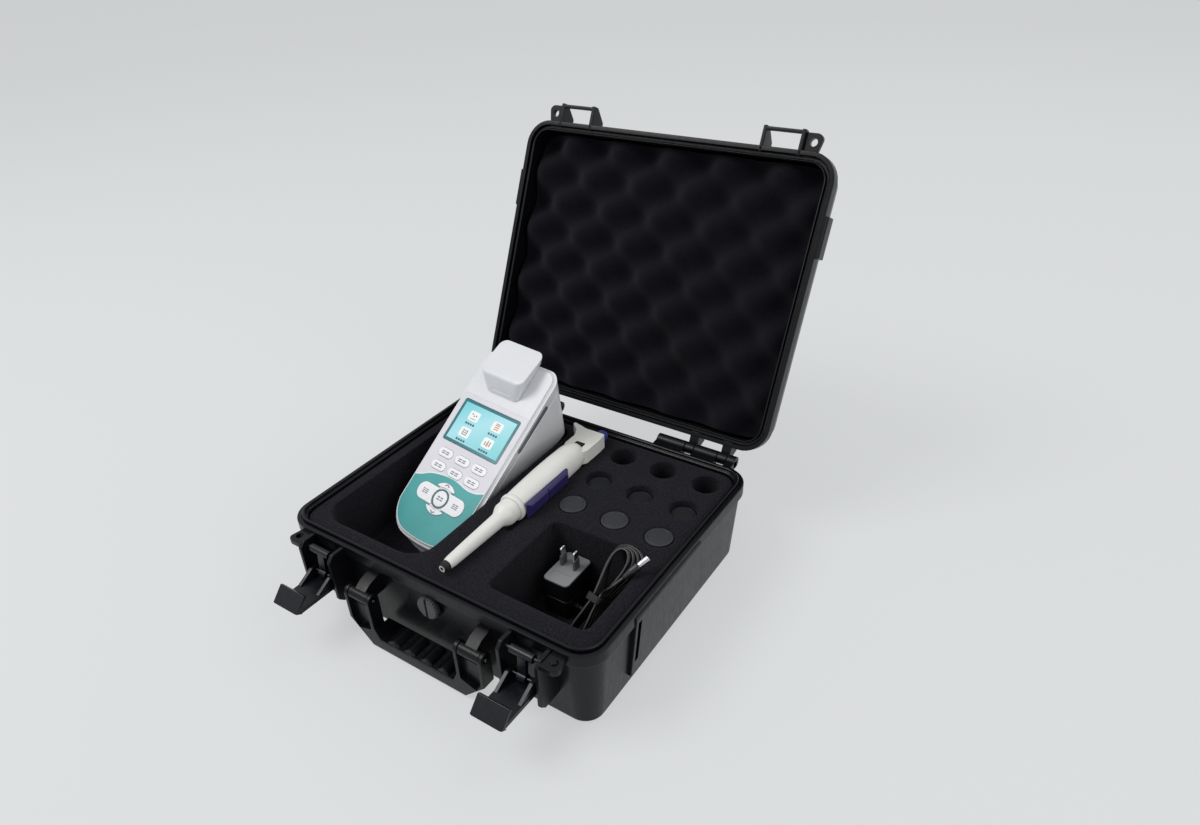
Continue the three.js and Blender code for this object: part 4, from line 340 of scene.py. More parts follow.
def loft(rings, caps=True, closed=False):
    bm = bmesh.new()
    rows = [[bm.verts.new(point) for point in ring] for ring in rings]
    for low, high in zip(rows, rows[1:]):
        strip(bm, low, high)
    if closed:
        strip(bm, rows[-1], rows[0])
    elif caps:
        bm.faces.new(list(reversed(rows[0])))
        bm.faces.new(rows[-1])
    return tidy(bm)


def soften(bm, width, segments=2):
    sharp = [edge for edge in bm.edges if edge.calc_face_angle(0) > math.radians(28)]
    bmesh.ops.bevel(
        bm, geom=sharp, offset=width, segments=segments, profile=0.5, affect="EDGES", clamp_overlap=True
    )
    return bm


def moved(bm, matrix):
    bm.transform(matrix)
    return bm


def prism(outline, axis, low, high, bevel=0.0, segments=2):
    bm = loft([[at(axis, a, b, c) for a, b in outline] for c in (low, high)])
    return soften(bm, bevel, segments) if bevel else bm


def block(x0, x1, y0, y1, z0, z1, bevel=0.0):
    return prism([(x0, y0), (x1, y0), (x1, y1), (x0, y1)], "z", z0, z1, bevel)


def drum(axis, a, b, radius, low, high, bevel=0.0, count=ROUND):
    return prism(circle(radius, a, b, count), axis, low, high, bevel)


def turned(profile, x=0, y=0, count=ROUND, matrix=None, ribs=0, rib_depth=0.0, ribbed=()):
    """Turns a profile of (radius, height) points about an upright line. Some of its points may be ribbed."""
    rings = []
    for k, (radius, height) in enumerate(profile):
        ring = []
        for i in range(count):
            angle = 2 * math.pi * i / count
            wave = rib_depth * 0.5 * (1 + math.cos(ribs * angle)) if k in ribbed else 0
            size = max(radius - wave, 1e-3)
            ring.append((x + size * math.cos(angle), y + size * math.sin(angle), height))
        rings.append(ring)
    bm = loft(rings)
    return moved(bm, matrix) if matrix else bm


def fill(loops, height=0):
    """A flat face bounded by the first loop, with the other loops as holes."""
    bm = bmesh.new()
    edges = []
    for loop in loops:
        verts = [bm.verts.new((x, y, height)) for x, y in loop]
        edges += [bm.edges.new(pair) for pair in zip(verts, verts[1:] + verts[:1])]
    bmesh.ops.triangle_fill(bm, use_beauty=True, use_dissolve=False, edges=edges, normal=(0, 0, 1))
    return bm


def walls(loop, low, high):
    return loft([level(loop, low), level(loop, high)], caps=False)


def plate(loops, low, high):
    return tidy(joined([fill(loops, low), fill(loops, high), *(walls(loop, low, high) for loop in loops)]))


def joined(parts):
    total = bmesh.new()
    for part in parts:
        mesh = bpy.data.meshes.new("part")
        part.to_mesh(mesh)
        total.from_mesh(mesh)
        bpy.data.meshes.remove(mesh)
        part.free()
    return total


def painted(bm, index):
    for face in bm.faces:
        face.material_index = index
    return bm


def scratch_object(bm):
    mesh = bpy.data.meshes.new("scratch")
    bm.to_mesh(mesh)
    bm.free()
    for _ in range(2):
        mesh.materials.append(None)
    return add_object("scratch", mesh)


def baked(obj, *tools):
    """The shape that an object's modifiers make of it. The object and its tools are removed."""
    shape = obj.evaluated_get(bpy.context.evaluated_depsgraph_get())
    bm = bmesh.new()
    bm.from_mesh(shape.to_mesh())
    shape.to_mesh_clear()
    for used in (obj, *tools):
        mesh = used.data
        bpy.data.objects.remove(used)
        bpy.data.meshes.remove(mesh)
    return bm


def carve(bm, cutters, dark=False):
    """Cuts closed shapes out of a closed shape. The cut faces get the second material if dark is set."""
    target = scratch_object(bm)
    tools = [scratch_object(painted(cutter, 1) if dark else cutter) for cutter in cutters]
    for tool in tools:
        cut = target.modifiers.new("cut", "BOOLEAN")
        cut.operation = "DIFFERENCE"
        cut.solver = "EXACT"
        cut.object = tool
    return baked(target, *tools)


def make(name, body, parts, materials, node, chart=None, weighted=True):
    """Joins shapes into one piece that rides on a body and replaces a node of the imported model.
    A part may be paired with a material's number."""
    total = joined([painted(*part) if isinstance(part, tuple) else part for part in parts])
    for face in total.faces:
        face.smooth = True
    if chart is not None:
        layer = total.verts.layers.float_vector.new("chart")
        for vert in total.verts:
            vert[layer] = (chart @ vert.co) * 0.01
    total.transform(Matrix.Scale(MM, 4))
    mesh = bpy.data.meshes.new(name)
    total.to_mesh(mesh)
    total.free()
    mesh.set_sharp_from_angle(angle=math.radians(SHARP_DEG))
    for material in materials:
        mesh.materials.append(material)
    obj = add_object(name, mesh)
    if weighted:
        even = obj.modifiers.new("even_normals", "WEIGHTED_NORMAL")
        even.keep_sharp = True
    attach(obj, body)
    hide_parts(node)
    return obj


# Cord: from the adapter's strain relief, through the coil and its tie, to the plug
CORD_RADIUS = 1.5
LEAD_ROUTE = (
    *((95.1, -38, 20), (98.2, -38, 19.8), (101.2, -39.6, 18.9), (102.8, -43, 17.4), (102.6, -47.5, 15.8)),
    *((101.4, -52, 14.6), (99.8, -56.5, 14), (98.2, -61, 13.9), (97, -65.5, 13.9), (96.4, -70, 13.9)),
    *((96.5, -73.8, 14.2), (97.3, -76.8, 14.6), (99.2, -79.1, 15), (101.96, -80.37, 15.08)),
)
TAIL_ROUTE = (
    *((113.85, -62.14, 52.97), (113.8, -60.3, 54.6), (113.95, -58, 56.7), (114.25, -55.8, 58.8)),
    *((114.7, -53.6, 60.8), (115.3, -51.4, 62.8), (116.5, -50.5, 64.6), (118.2, -50, 66.6)),
    *((120.2, -49.5, 68.7), (122.2, -48.3, 70.7), (124, -46.7, 72.6), (125.7, -44.6, 74.5)),
    (128.35, -40.89, 77.34),
)
HANK = {"x": 112, "y": -50, "z": 53, "pitch": 42, "yaw": 12, "far": 50, "near": 49, "loops": 4, "step": 3.45}
HANK_WAIST_HALF, HANK_STEPS = 3.4, 24
HANK_BULGE, HANK_END = 2.32, 12
HANK_FAN = {"far": 16.5, "narrows": 8.5, "near": 10.5, "near_narrows": 3, "shortens": 6}


def hank_frame():
    pitch = math.radians(HANK["pitch"])
    yaw = math.radians(HANK["yaw"])
    long = Vector((math.sin(yaw) * math.cos(pitch), math.cos(yaw) * math.cos(pitch), math.sin(pitch)))
    across = Vector((math.cos(yaw), -math.sin(yaw), 0))
    return long, across, across.cross(long)


HANK_LONG, HANK_ACROSS, HANK_OUT = hank_frame()
HANK_LAYERS = HANK["loops"] * HANK["step"]


def in_hank(a, b, n):
    middle = Vector((HANK["x"], HANK["y"], HANK["z"]))
    return middle + HANK_LONG * a + HANK_ACROSS * b + HANK_OUT * (n - HANK_LAYERS / 2)


def hank_point(turns):
    angle = turns * 2 * math.pi - math.pi / 2
    along = math.sin(angle)
    near = along < 0
    share = turns / HANK["loops"]
    far_widest = HANK_FAN["far"] - HANK_FAN["narrows"] * share
    near_widest = HANK_FAN["near"] - HANK_FAN["near_narrows"] * share
    widest = near_widest if near else far_widest
    spread = HANK_WAIST_HALF + (widest - HANK_WAIST_HALF) * HANK_BULGE * abs(along) ** 1.5
    reach = HANK["near"] if near else HANK["far"] - HANK_FAN["shortens"] * share
    return in_hank(along * reach, math.cos(angle) * spread, turns * HANK["step"])


def cord_points():
    turns = HANK["loops"] + 0.25 - math.asin(HANK_END / HANK["near"]) / (2 * math.pi)
    count = round(turns * HANK_STEPS)
    coil = [hank_point(i / count * turns) for i in range(count + 1)]
    first = coil[0] - HANK_ACROSS * (2 * CORD_RADIUS)
    last = coil[-1] + (coil[-1] - coil[-2]).normalized() * (2 * CORD_RADIUS)
    return [*map(Vector, LEAD_ROUTE[:-1]), first, *coil, last, *map(Vector, TAIL_ROUTE[1:])]


def add_cord():
    data = bpy.data.curves.new("cord", "CURVE")
    data.dimensions = "3D"
    data.bevel_depth = CORD_RADIUS * MM
    data.bevel_resolution = 4
    data.resolution_u = 5
    data.use_fill_caps = True
    spline = data.splines.new("BEZIER")
    points = cord_points()
    spline.bezier_points.add(len(points) - 1)
    for knot, point in zip(spline.bezier_points, points):
        knot.co = point * MM
        knot.handle_left_type = "AUTO"
        knot.handle_right_type = "AUTO"
    data.materials.append(CORD)
    cord = add_object("cord", data)
    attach(cord, "case")
    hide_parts("cord_lead", "cord_hank", "cord_tail")
    return cord


def looking_along(line, place):
    """A frame whose Z runs along a line from a place."""
    across = Vector((1, 0, 0)).cross(line).normalized()
    return frame_from(across.cross(line), across, line, place)


def add_cord_ends():
    aim = Vector((0.492, 0.695, 0.524)).normalized()
    tip = Vector((140.8, -23.3, 90.6))
    body, barrel, radius, pin = 16, 9, 3.5, 2.6
    place = looking_along(aim, tip - aim * (body + barrel))
    grip = [(1.6, -0.4), (2, 0.4), (radius, 8), (radius, body - 1.2), (radius - 1.2, body)]
    sleeve = [(pin, body - 0.5), (pin, body + barrel), (1, body + barrel), (1, body + 2)]
    plug = turned(fillet(grip, 0.9), count=32, matrix=place)
    metal = turned(fillet(sleeve, 0.4), count=32, matrix=place)
    plug_piece = make("dc_plug_body", "case", [(plug, 0), (metal, 1)], [CORD, STEEL], "dc_plug")
    profile = [(3.8, 0), (3.8, 3.6)]
    for i in range(5):
        base = 4 + i * 2.1
        size = 3.1 - i * 0.16
        profile += [(size - 0.6, base), (size - 0.6, base + 0.7), (size, base + 0.9), (size, base + 1.9)]
    profile += [(2.25, 14.6), (2, 15)]
    relief = turned(fillet(profile, 0.25, 2), count=32, matrix=Matrix.Translation((79.8, -38, 20)) @ TO_X)
    relief_piece = make("strain_relief_boot", "case", [relief], [CORD], "strain_relief")
    room = CORD_RADIUS + 1.1
    half = HANK_WAIST_HALF + room
    high = HANK_LAYERS + HANK["step"] / 4 + room
    rings = []
    for grow, along in ((1.4, -2.6), (1.4, 2.6), (1, 3), (0.4, 3), (0, 2.6), (0, -2.6), (0.4, -3), (1, -3)):
        outline = round_rect(-half - grow, half + grow, -room - grow, high + grow, 2.6 + grow, 6)
        rings.append(level(outline, along))
    around = frame_from(HANK_ACROSS, HANK_OUT, -HANK_LONG, in_hank(0, 0, 0))
    band = moved(loft(rings, closed=True), around)
    tie = make("tie_band", "case", [band], [RUBBER], "cord_tie")
    return plug_piece, relief_piece, tie


TO_X = Matrix(((0, 0, 1, 0), (1, 0, 0, 0), (0, 1, 0, 0), (0, 0, 0, 1)))
TO_Y = Matrix(((0, 1, 0, 0), (0, 0, 1, 0), (1, 0, 0, 0), (0, 0, 0, 1)))
cord = add_cord()
add_cord_ends()
print("cord length", round(cord.data.splines[0].calc_length(), 4))


# Case


def wall_inset(z):
    return BASE_TAPER - (BASE_TAPER - BAND_STEP) * z / BAND_LOW


def wall_front(z):
    return FRONT + wall_inset(z)


def case_ring(z, inset):
    x = HALF_WIDTH - inset
    return level(round_rect(-x, x, FRONT + inset, BACK - inset, CASE_CORNER - inset), z)


def quarter_turn(radius, steps=5):
    """How far in and how far up each step of a rounded edge lies."""
    for step in range(steps + 1):
        angle = step / steps * math.pi / 2
        yield radius * (1 - math.sin(angle)), radius * (1 - math.cos(angle))


def band_rings(band, edge, away, step):
    """The outside of a shell's thick band, up to its edge. The wall beside it lies away from the edge."""
    rings = [(band + away * BAND_STEP * 0.8, step), (band + away * 1.4, step - 0.3), (band + away * 0.3, 0.4)]
    rings += [(band - away * 0.2, 0.05), (band - away * 0.9, 0)]
    return rings + [(edge + away * 0.8, 0), (edge + away * 0.24, 0.24), (edge, 0.8)]


def base_tub():
    tongue = TONGUE_INSET
    end = tongue + TONGUE_WIDTH
    top = RIM + TONGUE_HEIGHT
    rings = [(up, wall_inset(FOOT_ROUND) + inset) for inset, up in quarter_turn(FOOT_ROUND)]
    rings += band_rings(BAND_LOW, RIM, -1, wall_inset(BAND_LOW))
    rings += [(RIM, tongue - 1), (RIM - 1.2, tongue - 0.7), (RIM - 1.2, tongue - 0.1)]
    rings += [(RIM - 0.6, tongue), (top - 0.6, tongue), (top, tongue + 0.6), (top, end - 0.6)]
    rings += [(top - 0.6, end), (RIM + 0.3, end), (RIM, end + 0.3), (RIM, BAND_WIDTH - 0.8)]
    rings += [(RIM - 0.8, BAND_WIDTH), (BAND_LOW, BAND_WIDTH)]
    rings += [(BAND_LOW - BAND_WIDTH / 2, wall_inset(BAND_LOW - BAND_WIDTH / 2) + WALL)]
    rings += [(FLOOR + EDGE_ROUND, wall_inset(FLOOR) + WALL), (FLOOR, wall_inset(FLOOR) + WALL + EDGE_ROUND)]
    return loft([case_ring(z, inset) for z, inset in rings])


LATCH_X, EAR_GAP, EAR_THICK, EAR_REACH, EAR_BOTTOM, EAR_TOP, EAR_CHAMFER = 105, 31, 3.6, 16.8, 28, 78, 5
TAB_LENGTH, TAB_THICK, TAB_DEPTH, TAB_HOLE, TAB_GAP = 15, 5, 15, 3.4, 3.6


def knuckles(side):
    inner = HINGE_X - BARREL_WIDTH / 2
    gap = ARM_WIDTH / 2 + SEAT * 2
    spans = ((inner, ARM_A - gap), (ARM_A + gap, ARM_B - gap), (ARM_B + gap, inner + BARREL_WIDTH))
    root = BACK - BAND_WIDTH / 2
    y, z, radius = PIN["y"], PIN["z"], BARREL_RADIUS
    web = [(root, BAND_LOW + 1), (y - radius / 2, z - radius), (y + radius / 2, z - radius / 2)]
    web += [(y, z + radius / 2), (root, RIM - SEAT)]
    parts = []
    for low, high in spans:
        span = (low, high) if side > 0 else (-high, -low)
        parts += [prism(web, "x", *span, 0.4), drum("x", y, z, radius, *span, 0.5)]
    return parts


def beside_ears(outline, side):
    """The same plate on both sides of a latch."""
    middle = side * LATCH_X
    inner = EAR_GAP / 2
    spans = ((middle - inner - EAR_THICK, middle - inner), (middle + inner, middle + inner + EAR_THICK))
    return [prism(outline, "x", *span, 0.7) for span in spans]


def ears(side):
    end = FRONT - EAR_REACH
    outline = [(FRONT + BAND_STEP + WALL / 2, EAR_TOP), (end + EAR_CHAMFER, EAR_TOP)]
    outline += [(end, EAR_TOP - EAR_CHAMFER), (end, EAR_BOTTOM + EAR_CHAMFER)]
    outline += [(end + EAR_CHAMFER, EAR_BOTTOM), (wall_front(EAR_BOTTOM) + WALL / 4, EAR_BOTTOM)]
    return beside_ears(outline, side)


def padlock_tab(side, low, high):
    start = LATCH_X + EAR_GAP / 2 + EAR_THICK / 2
    end = LATCH_X + EAR_GAP / 2 + EAR_THICK + TAB_LENGTH
    front = FRONT - TAB_DEPTH
    root = FRONT + BAND_WIDTH / 2
    outline = [(start, front), (end - TAB_HOLE, front), (end, front + TAB_HOLE), (end - TAB_HOLE, root)]
    outline = fillet([(side * x, y) for x, y in (*outline, (start, root))], 2.2, closed=True)
    place = (side * (end - TAB_LENGTH / 2), FRONT - TAB_DEPTH / 2)
    hole = drum("z", *place, TAB_HOLE, low - 2, high + 2)
    return carve(prism(outline, "z", low, high, 0.6), [hole])


HANDLE = {"x": 58.5, "y": FRONT - 14, "z": 50, "arm": 28, "thick": 12, "bottom": 2, "grip": 11, "chamfer": 22}
GRIP_REACH = 17
HANDLE_SHELL, HANDLE_BOSS, HANDLE_LUG, HANDLE_SLOT = 3.6, 6.4, 12, 9


def handle_lug(side):
    y, z, boss = HANDLE["y"], HANDLE["z"], HANDLE_BOSS
    outline = [(wall_front(z + boss) + WALL / 2, z + boss + boss), (y + boss, z + boss + boss / 2)]
    outline += [(y - boss / 2, z + boss / 2), (y, z - boss), (wall_front(z - boss) + WALL / 2, z - boss)]
    middle = side * HANDLE["x"]
    reach = HANDLE["arm"] / 2 - HANDLE_SHELL - SEAT
    return [
        prism(outline, "x", middle - HANDLE_LUG / 2, middle + HANDLE_LUG / 2, 0.8),
        drum("x", y, z, boss - 1, middle - reach, middle + reach, 0.5),
    ]


def side_boss(side):
    low, high, back = 11, 77, 30
    foot = HALF_WIDTH - wall_inset(low)
    head = HALF_WIDTH - wall_inset(BAND_LOW)
    out = HALF_WIDTH + 1.5
    root = WALL / 2
    outline = [(low, foot - root), (low, foot + BAND_STEP), (high - BAND_STEP, out), (high, out - 0.75)]
    rib = prism([(z, side * x) for z, x in (*outline, (high, head - root))], "y", -72, back, 0.7)
    slot = [(26, foot + BAND_STEP - 1), (26, out + 2), (70, out + 2), (70, out - 3)]
    return carve(rib, [prism([(z, side * x) for z, x in slot], "y", -69, -64)])


def add_base():
    parts = [base_tub()]
    for _, side in SIDES:
        parts += knuckles(side) + ears(side)
        parts.append(padlock_tab(side, RIM - TAB_GAP - TAB_THICK, RIM - TAB_GAP))
        parts += [*handle_lug(side), side_boss(side)]
    make("base_case", "case", parts, [SHELL], "base_shell")


LID = (
    Matrix.Translation((0, PIN["y"], PIN["z"]))
    @ Matrix.Rotation(math.radians(-LID_OPEN_DEG), 4, "X")
    @ Matrix.Translation((0, -PIN["y"], -PIN["z"]))
)


def lid_tub():
    groove = TONGUE_INSET - SEAT * 2
    inner = TONGUE_INSET + TONGUE_WIDTH + SEAT * 2
    deep = RIM + GROOVE_DEPTH
    rings = [(LID_TOP - up, LID_TAPER + inset) for inset, up in quarter_turn(LID_ROUND)]
    rings += band_rings(LID_BAND, LID_LOW, 1, BAND_STEP)
    rings += [(LID_LOW, groove - 0.4), (LID_LOW + 0.4, groove), (deep, groove), (deep, inner)]
    rings += [(LID_LOW + 0.4, inner), (LID_LOW, inner + 0.4), (LID_LOW, BAND_WIDTH - 0.6)]
    rings += [(LID_LOW + 0.6, BAND_WIDTH), (LID_BAND, BAND_WIDTH), (LID_BAND + BAND_STEP, BAND_STEP + WALL)]
    inside = LID_INSIDE_TOP - EDGE_ROUND
    rings += [(inside, LID_TAPER + WALL), (LID_INSIDE_TOP, LID_TAPER + EDGE_ROUND + WALL / 2)]
    return loft([case_ring(z, inset) for z, inset in rings])


def lid_arm(side, middle):
    root = BACK - BAND_WIDTH / 2
    y, z, radius = PIN["y"], PIN["z"], BARREL_RADIUS
    outline = [(root, LID_LOW + SEAT), (y - radius / 2, LID_LOW + SEAT)]
    outline += [(y + radius / 2, z + radius * ARM_SHOULDER_SHARE), (BACK + ARM_THICK, ARM_TOP)]
    outline += [(BACK - BAND_STEP - WALL / 2, ARM_TOP), (root, LID_BAND)]
    span = (side * middle - ARM_WIDTH / 2, side * middle + ARM_WIDTH / 2)
    return [prism(outline, "x", *span, 0.5), drum("x", y, z, radius, *span, 0.5)]


def lid_catch(side):
    fin_high, reach, thick, tall = 20, 16, 3.2, 4.6
    root = FRONT + BAND_STEP + WALL / 2
    end = FRONT - EAR_REACH
    fin = [(root, LID_LOW), (end, LID_LOW), (end, LID_LOW + fin_high / 3)]
    fin += [(FRONT - EAR_REACH / 3, LID_LOW + fin_high), (root, LID_LOW + fin_high)]
    bar_front = FRONT - reach
    bar = [(bar_front + thick, LID_LOW), (bar_front, LID_LOW), (bar_front, LID_LOW + tall)]
    bar.append((bar_front + thick, LID_LOW + tall - 0.8))
    middle = side * LATCH_X
    half = EAR_GAP / 2 + EAR_THICK / 2
    return [
        *beside_ears(fin, side),
        prism(bar, "x", middle - half, middle + half, 0.7),
        padlock_tab(side, RIM + TAB_GAP, RIM + TAB_GAP + TAB_THICK),
    ]


def lid_block(side):
    out = HALF_WIDTH + 3
    root = HALF_WIDTH - BAND_STEP - 0.4
    outline = [(SEAT, root), (SEAT, out - 1.5), (3, out), (15, out), (18, root + 3), (18, root)]
    return prism([(LID_LOW + z, side * x) for z, x in outline], "y", -81, -46, 0.8)


def add_lid():
    parts = [lid_tub()]
    for _, side in SIDES:
        parts += lid_arm(side, ARM_A) + lid_arm(side, ARM_B) + lid_catch(side) + [lid_block(side)]
    make("lid_case", "lid", [moved(part, LID) for part in parts], [SHELL], "lid_shell")


def add_lid_foam():
    """Foam with rows of bumps, cut to the lid's inside, with sides that run up to its flat back."""
    pitch, amplitude, side_inset, back_inset = 27.5, 10, 10.2, 5.8
    columns, rows = 132, 108
    sheet_top = LID_INSIDE_TOP - SEAT
    valley = sheet_top - 13
    half_x = HALF_WIDTH - side_inset
    half_y = CASE_DEPTH / 2 - side_inset
    corner = CASE_CORNER - side_inset
    bm = bmesh.new()
    grid = []
    for r in range(rows + 1):
        y = -half_y + 2 * half_y * r / rows
        over = max(0, abs(y) - (half_y - corner))
        reach = half_x - corner + math.sqrt(max(0, corner**2 - over**2))
        line = []
        for c in range(columns + 1):
            x = -reach + 2 * reach * c / columns
            wave = math.cos(math.pi * x / pitch) * math.cos(math.pi * y / pitch)
            rough = noise.noise(Vector((x, y, 0)) * 0.35) * 0.35
            line.append(bm.verts.new((x, y, valley - amplitude * (1 + wave) + rough)))
        grid.append(line)
    for low, high in zip(grid, grid[1:]):
        for c in range(columns):
            bm.faces.new((low[c], high[c], high[c + 1], low[c + 1]))
    border = grid[0][:-1] + [line[-1] for line in grid[:-1]]
    border += grid[-1][:0:-1] + [line[0] for line in grid[:0:-1]]
    rims = [border]
    for height, inset in ((LID_INSIDE_TOP - EDGE_ROUND - 2, 0), (sheet_top, back_inset)):
        scale_x = (half_x - inset) / half_x
        scale_y = (half_y - inset) / half_y
        rims.append([bm.verts.new((v.co.x * scale_x, v.co.y * scale_y, height)) for v in border])
        strip(bm, *rims[-2:])
    bm.faces.new(rims[-1])
    sheet = moved(tidy(bm), LID)
    foam = make("lid_foam_sheet", "lid", [sheet], [LID_FOAM], "lid_foam", weighted=False)
    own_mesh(foam)


def add_base_foam():
    """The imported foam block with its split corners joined, its edges evened out and a slight swell."""
    bm = bmesh.new()
    bm.from_mesh(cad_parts["base_foam"].data)
    bmesh.ops.remove_doubles(bm, verts=bm.verts, dist=1e-6)
    obj = scratch_object(bm)
    remesh = obj.modifiers.new("remesh", "REMESH")
    remesh.mode = "VOXEL"
    remesh.voxel_size = 1.5 * MM
    remesh.adaptivity = 0
    smooth = obj.modifiers.new("smooth", "SMOOTH")
    smooth.factor = 0.5
    smooth.iterations = 3
    bm = baked(obj)
    bm.normal_update()
    for vert in bm.verts:
        place = vert.co / MM
        swell = noise.noise(place * 0.09) * 0.12 + noise.noise(place * 0.5) * 0.08
        vert.co += vert.normal * swell * MM
    bm.transform(Matrix.Scale(1 / MM, 4))
    foam = make("base_foam_block", "case", [bm], [BASE_FOAM], "base_foam", weighted=False)


# Latches and handle
LINK_AXLE, LEVER_AXLE = {"reach": 9, "up": 72}, {"reach": 11.5, "up": 50}
LEVER_SWING_DEG = 88.7


def add_latches():
    drop = LINK_AXLE["up"] - LEVER_AXLE["up"]
    out = LEVER_AXLE["reach"] - LINK_AXLE["reach"]
    stand, skin_thick, toe, foot, arm = 9.2, 3.6, 2, 6, 44
    hook_length, hook_thick, tall, half, tab_half = 16.5, 3.3, 20, 13, 14.5
    hook = math.radians(-43)
    apex = (-stand + skin_thick + 0.6 * hook_thick - toe, arm)
    tip = (apex[0] + hook_length * math.cos(hook), apex[1] + hook_length * math.sin(hook))
    tip_in = (tip[0] + hook_thick * math.sin(hook), tip[1] - hook_thick * math.cos(hook))
    inside = -stand + skin_thick
    throat = (inside, tip_in[1] + (inside - tip_in[0]) / math.cos(hook) * math.sin(hook))
    skin = [(-stand + toe, -foot), (-stand, skin_thick), (-stand, arm - foot), apex]
    skin += [((apex[0] + throat[0]) / 2, throat[1]), throat, (inside, skin_thick), (inside + toe, -foot)]
    hook_shape = [apex, tip, tip_in, throat, (-stand, arm - foot)]
    cheek_shares = ((-0.76, -0.3), (-0.98, 0.7), (-0.6, 1), (0.38, 0.2), (0.38, -0.17), (-0.11, -0.3))
    cheek = fillet([(y * stand, z * tall) for y, z in cheek_shares], 1.2, closed=True)
    stem = [(1.7, 0), (-1.7, 0), (-out - 1.7, -drop), (-out + 1.7, -drop)]
    rib = [(1.7, -3), (3.4, -3), (0.6, -drop + 3), (-out + 1.7, -drop + 3)]
    for name, side in SIDES:
        x = side * LATCH_X
        link_at = Matrix.Translation((x, FRONT - LINK_AXLE["reach"], LINK_AXLE["up"]))
        lever_at = Matrix.Translation((x, FRONT - LEVER_AXLE["reach"], LEVER_AXLE["up"]))
        lever_at = lever_at @ Matrix.Rotation(math.radians(LEVER_SWING_DEG), 4, "X")
        link = [
            drum("x", 0, 0, 3.6, -10.5, 10.5, 0.5),
            prism(stem, "x", -4, 4, 0.6),
            prism(rib, "x", -1.1, 1.1, 0.4),
            drum("x", -out, -drop, 3.6, -4, 4, 0.5),
        ]
        lever = [
            prism(skin, "x", -half, half, 0.7),
            prism(hook_shape, "x", -tab_half, tab_half, 0.7),
            prism(cheek, "x", half - 3.5, half - 0.5, 0.5),
            prism(cheek, "x", -half + 0.5, -half + 3.5, 0.5),
        ]
        for kind, shapes, place in (("link", link, link_at), ("lever", lever, lever_at)):
            parts = [moved(part, place) for part in shapes]
            body = f"latch_{kind}_{name}"
            make(f"{kind}_{name}", body, parts, [LATCH], body)


def add_handle():
    shell, low, chamfer, grip = HANDLE_SHELL, HANDLE["bottom"], HANDLE["chamfer"], HANDLE["grip"]
    outer = HANDLE["x"] + HANDLE["arm"] / 2
    inner = HANDLE["x"] - HANDLE["arm"] / 2
    fork = HANDLE["z"] - HANDLE_SLOT
    grip_top = low + grip
    half_frame = [(outer, fork), (outer, low + chamfer), (outer - chamfer, low), (-outer + chamfer, low)]
    half_frame += [(-outer, low + chamfer), (-outer, fork), (-inner, fork), (-inner, grip_top + grip)]
    half_frame += [(-inner + grip / 2, grip_top), (inner - grip / 2, grip_top)]
    half_frame += [(inner, grip_top + grip), (inner, fork)]
    reach = HANDLE["thick"] / 2
    front = HANDLE["y"] - reach
    back = HANDLE["y"] + reach
    pocket = [(outer - shell, fork + 1), (outer - shell, low + chamfer + 1), (outer - 9, low + chamfer - 8)]
    pocket += [(inner + shell, low + chamfer - 3), (inner + shell, fork + 1)]
    recesses = []
    for _, side in SIDES:
        outline = fillet([(z, side * x) for x, z in pocket], 1.5, closed=True)
        recesses.append(prism(outline, "y", front - 2, front + 4.6))
    parts = [carve(prism([(z, x) for x, z in half_frame], "y", front, back, 0.8), recesses)]
    grip_back = HANDLE["y"] + GRIP_REACH
    parts.append(block(-inner - 8.5, inner + 8.5, back - 2, grip_back, low + 3, grip_top, 0.8))
    for i in range(4):
        x = (i - 1.5) * 18
        parts.append(drum("y", grip_top - 3.4, x, 7.6, front + 1, grip_back - 2, 2.2))
    round_top = sweep(reach, 0, math.pi, 12, HANDLE["y"], HANDLE["z"])
    cheek = [(back, fork - 1), *round_top, (front, fork - 1)]
    for _, side in SIDES:
        for start in (inner, outer - shell):
            span = sorted((side * start, side * (start + shell)))
            parts.append(prism(cheek, "x", *span, 0.7))
    make("handle_frame", "handle", parts, [SHELL], "carry_handle")


def add_pins():
    """Every pin is a turned rod with rounded ends. The handle's pins carry a small bright rivet."""

    def rod(y, z, radius, middle, reach, bevel):
        return drum("x", y, z, radius, middle - reach, middle + reach, bevel)

    for name, side in SIDES:
        hinge = rod(PIN["y"], PIN["z"], 2, side * HINGE_X, 40, 0.4)
        make(f"hinge_rod_{name}", "case", [hinge], [STEEL], f"hinge_pin_{name}")
        place = (HANDLE["y"], HANDLE["z"])
        pin = rod(*place, 3.4, side * HANDLE["x"], 14, 0.6)
        rivet = rod(*place, 1.5, side * HANDLE["x"], 14.3, 0.3)
        parts = [(pin, 0), (rivet, 1)]
        make(f"handle_rod_{name}", "case", parts, [SHELL, STEEL], f"handle_pin_{name}")
        reach = EAR_GAP / 2 + EAR_THICK
        latch_rods = (("link", LINK_AXLE, reach, "case"), ("lever", LEVER_AXLE, 12.5, f"latch_link_{name}"))
        for kind, axle, half, body in latch_rods:
            pin = rod(FRONT - axle["reach"], axle["up"], 1.5, side * LATCH_X, half, 0.3)
            make(f"{kind}_rod_{name}", body, [pin], [DARK_STEEL], f"{kind}_pin_{name}")


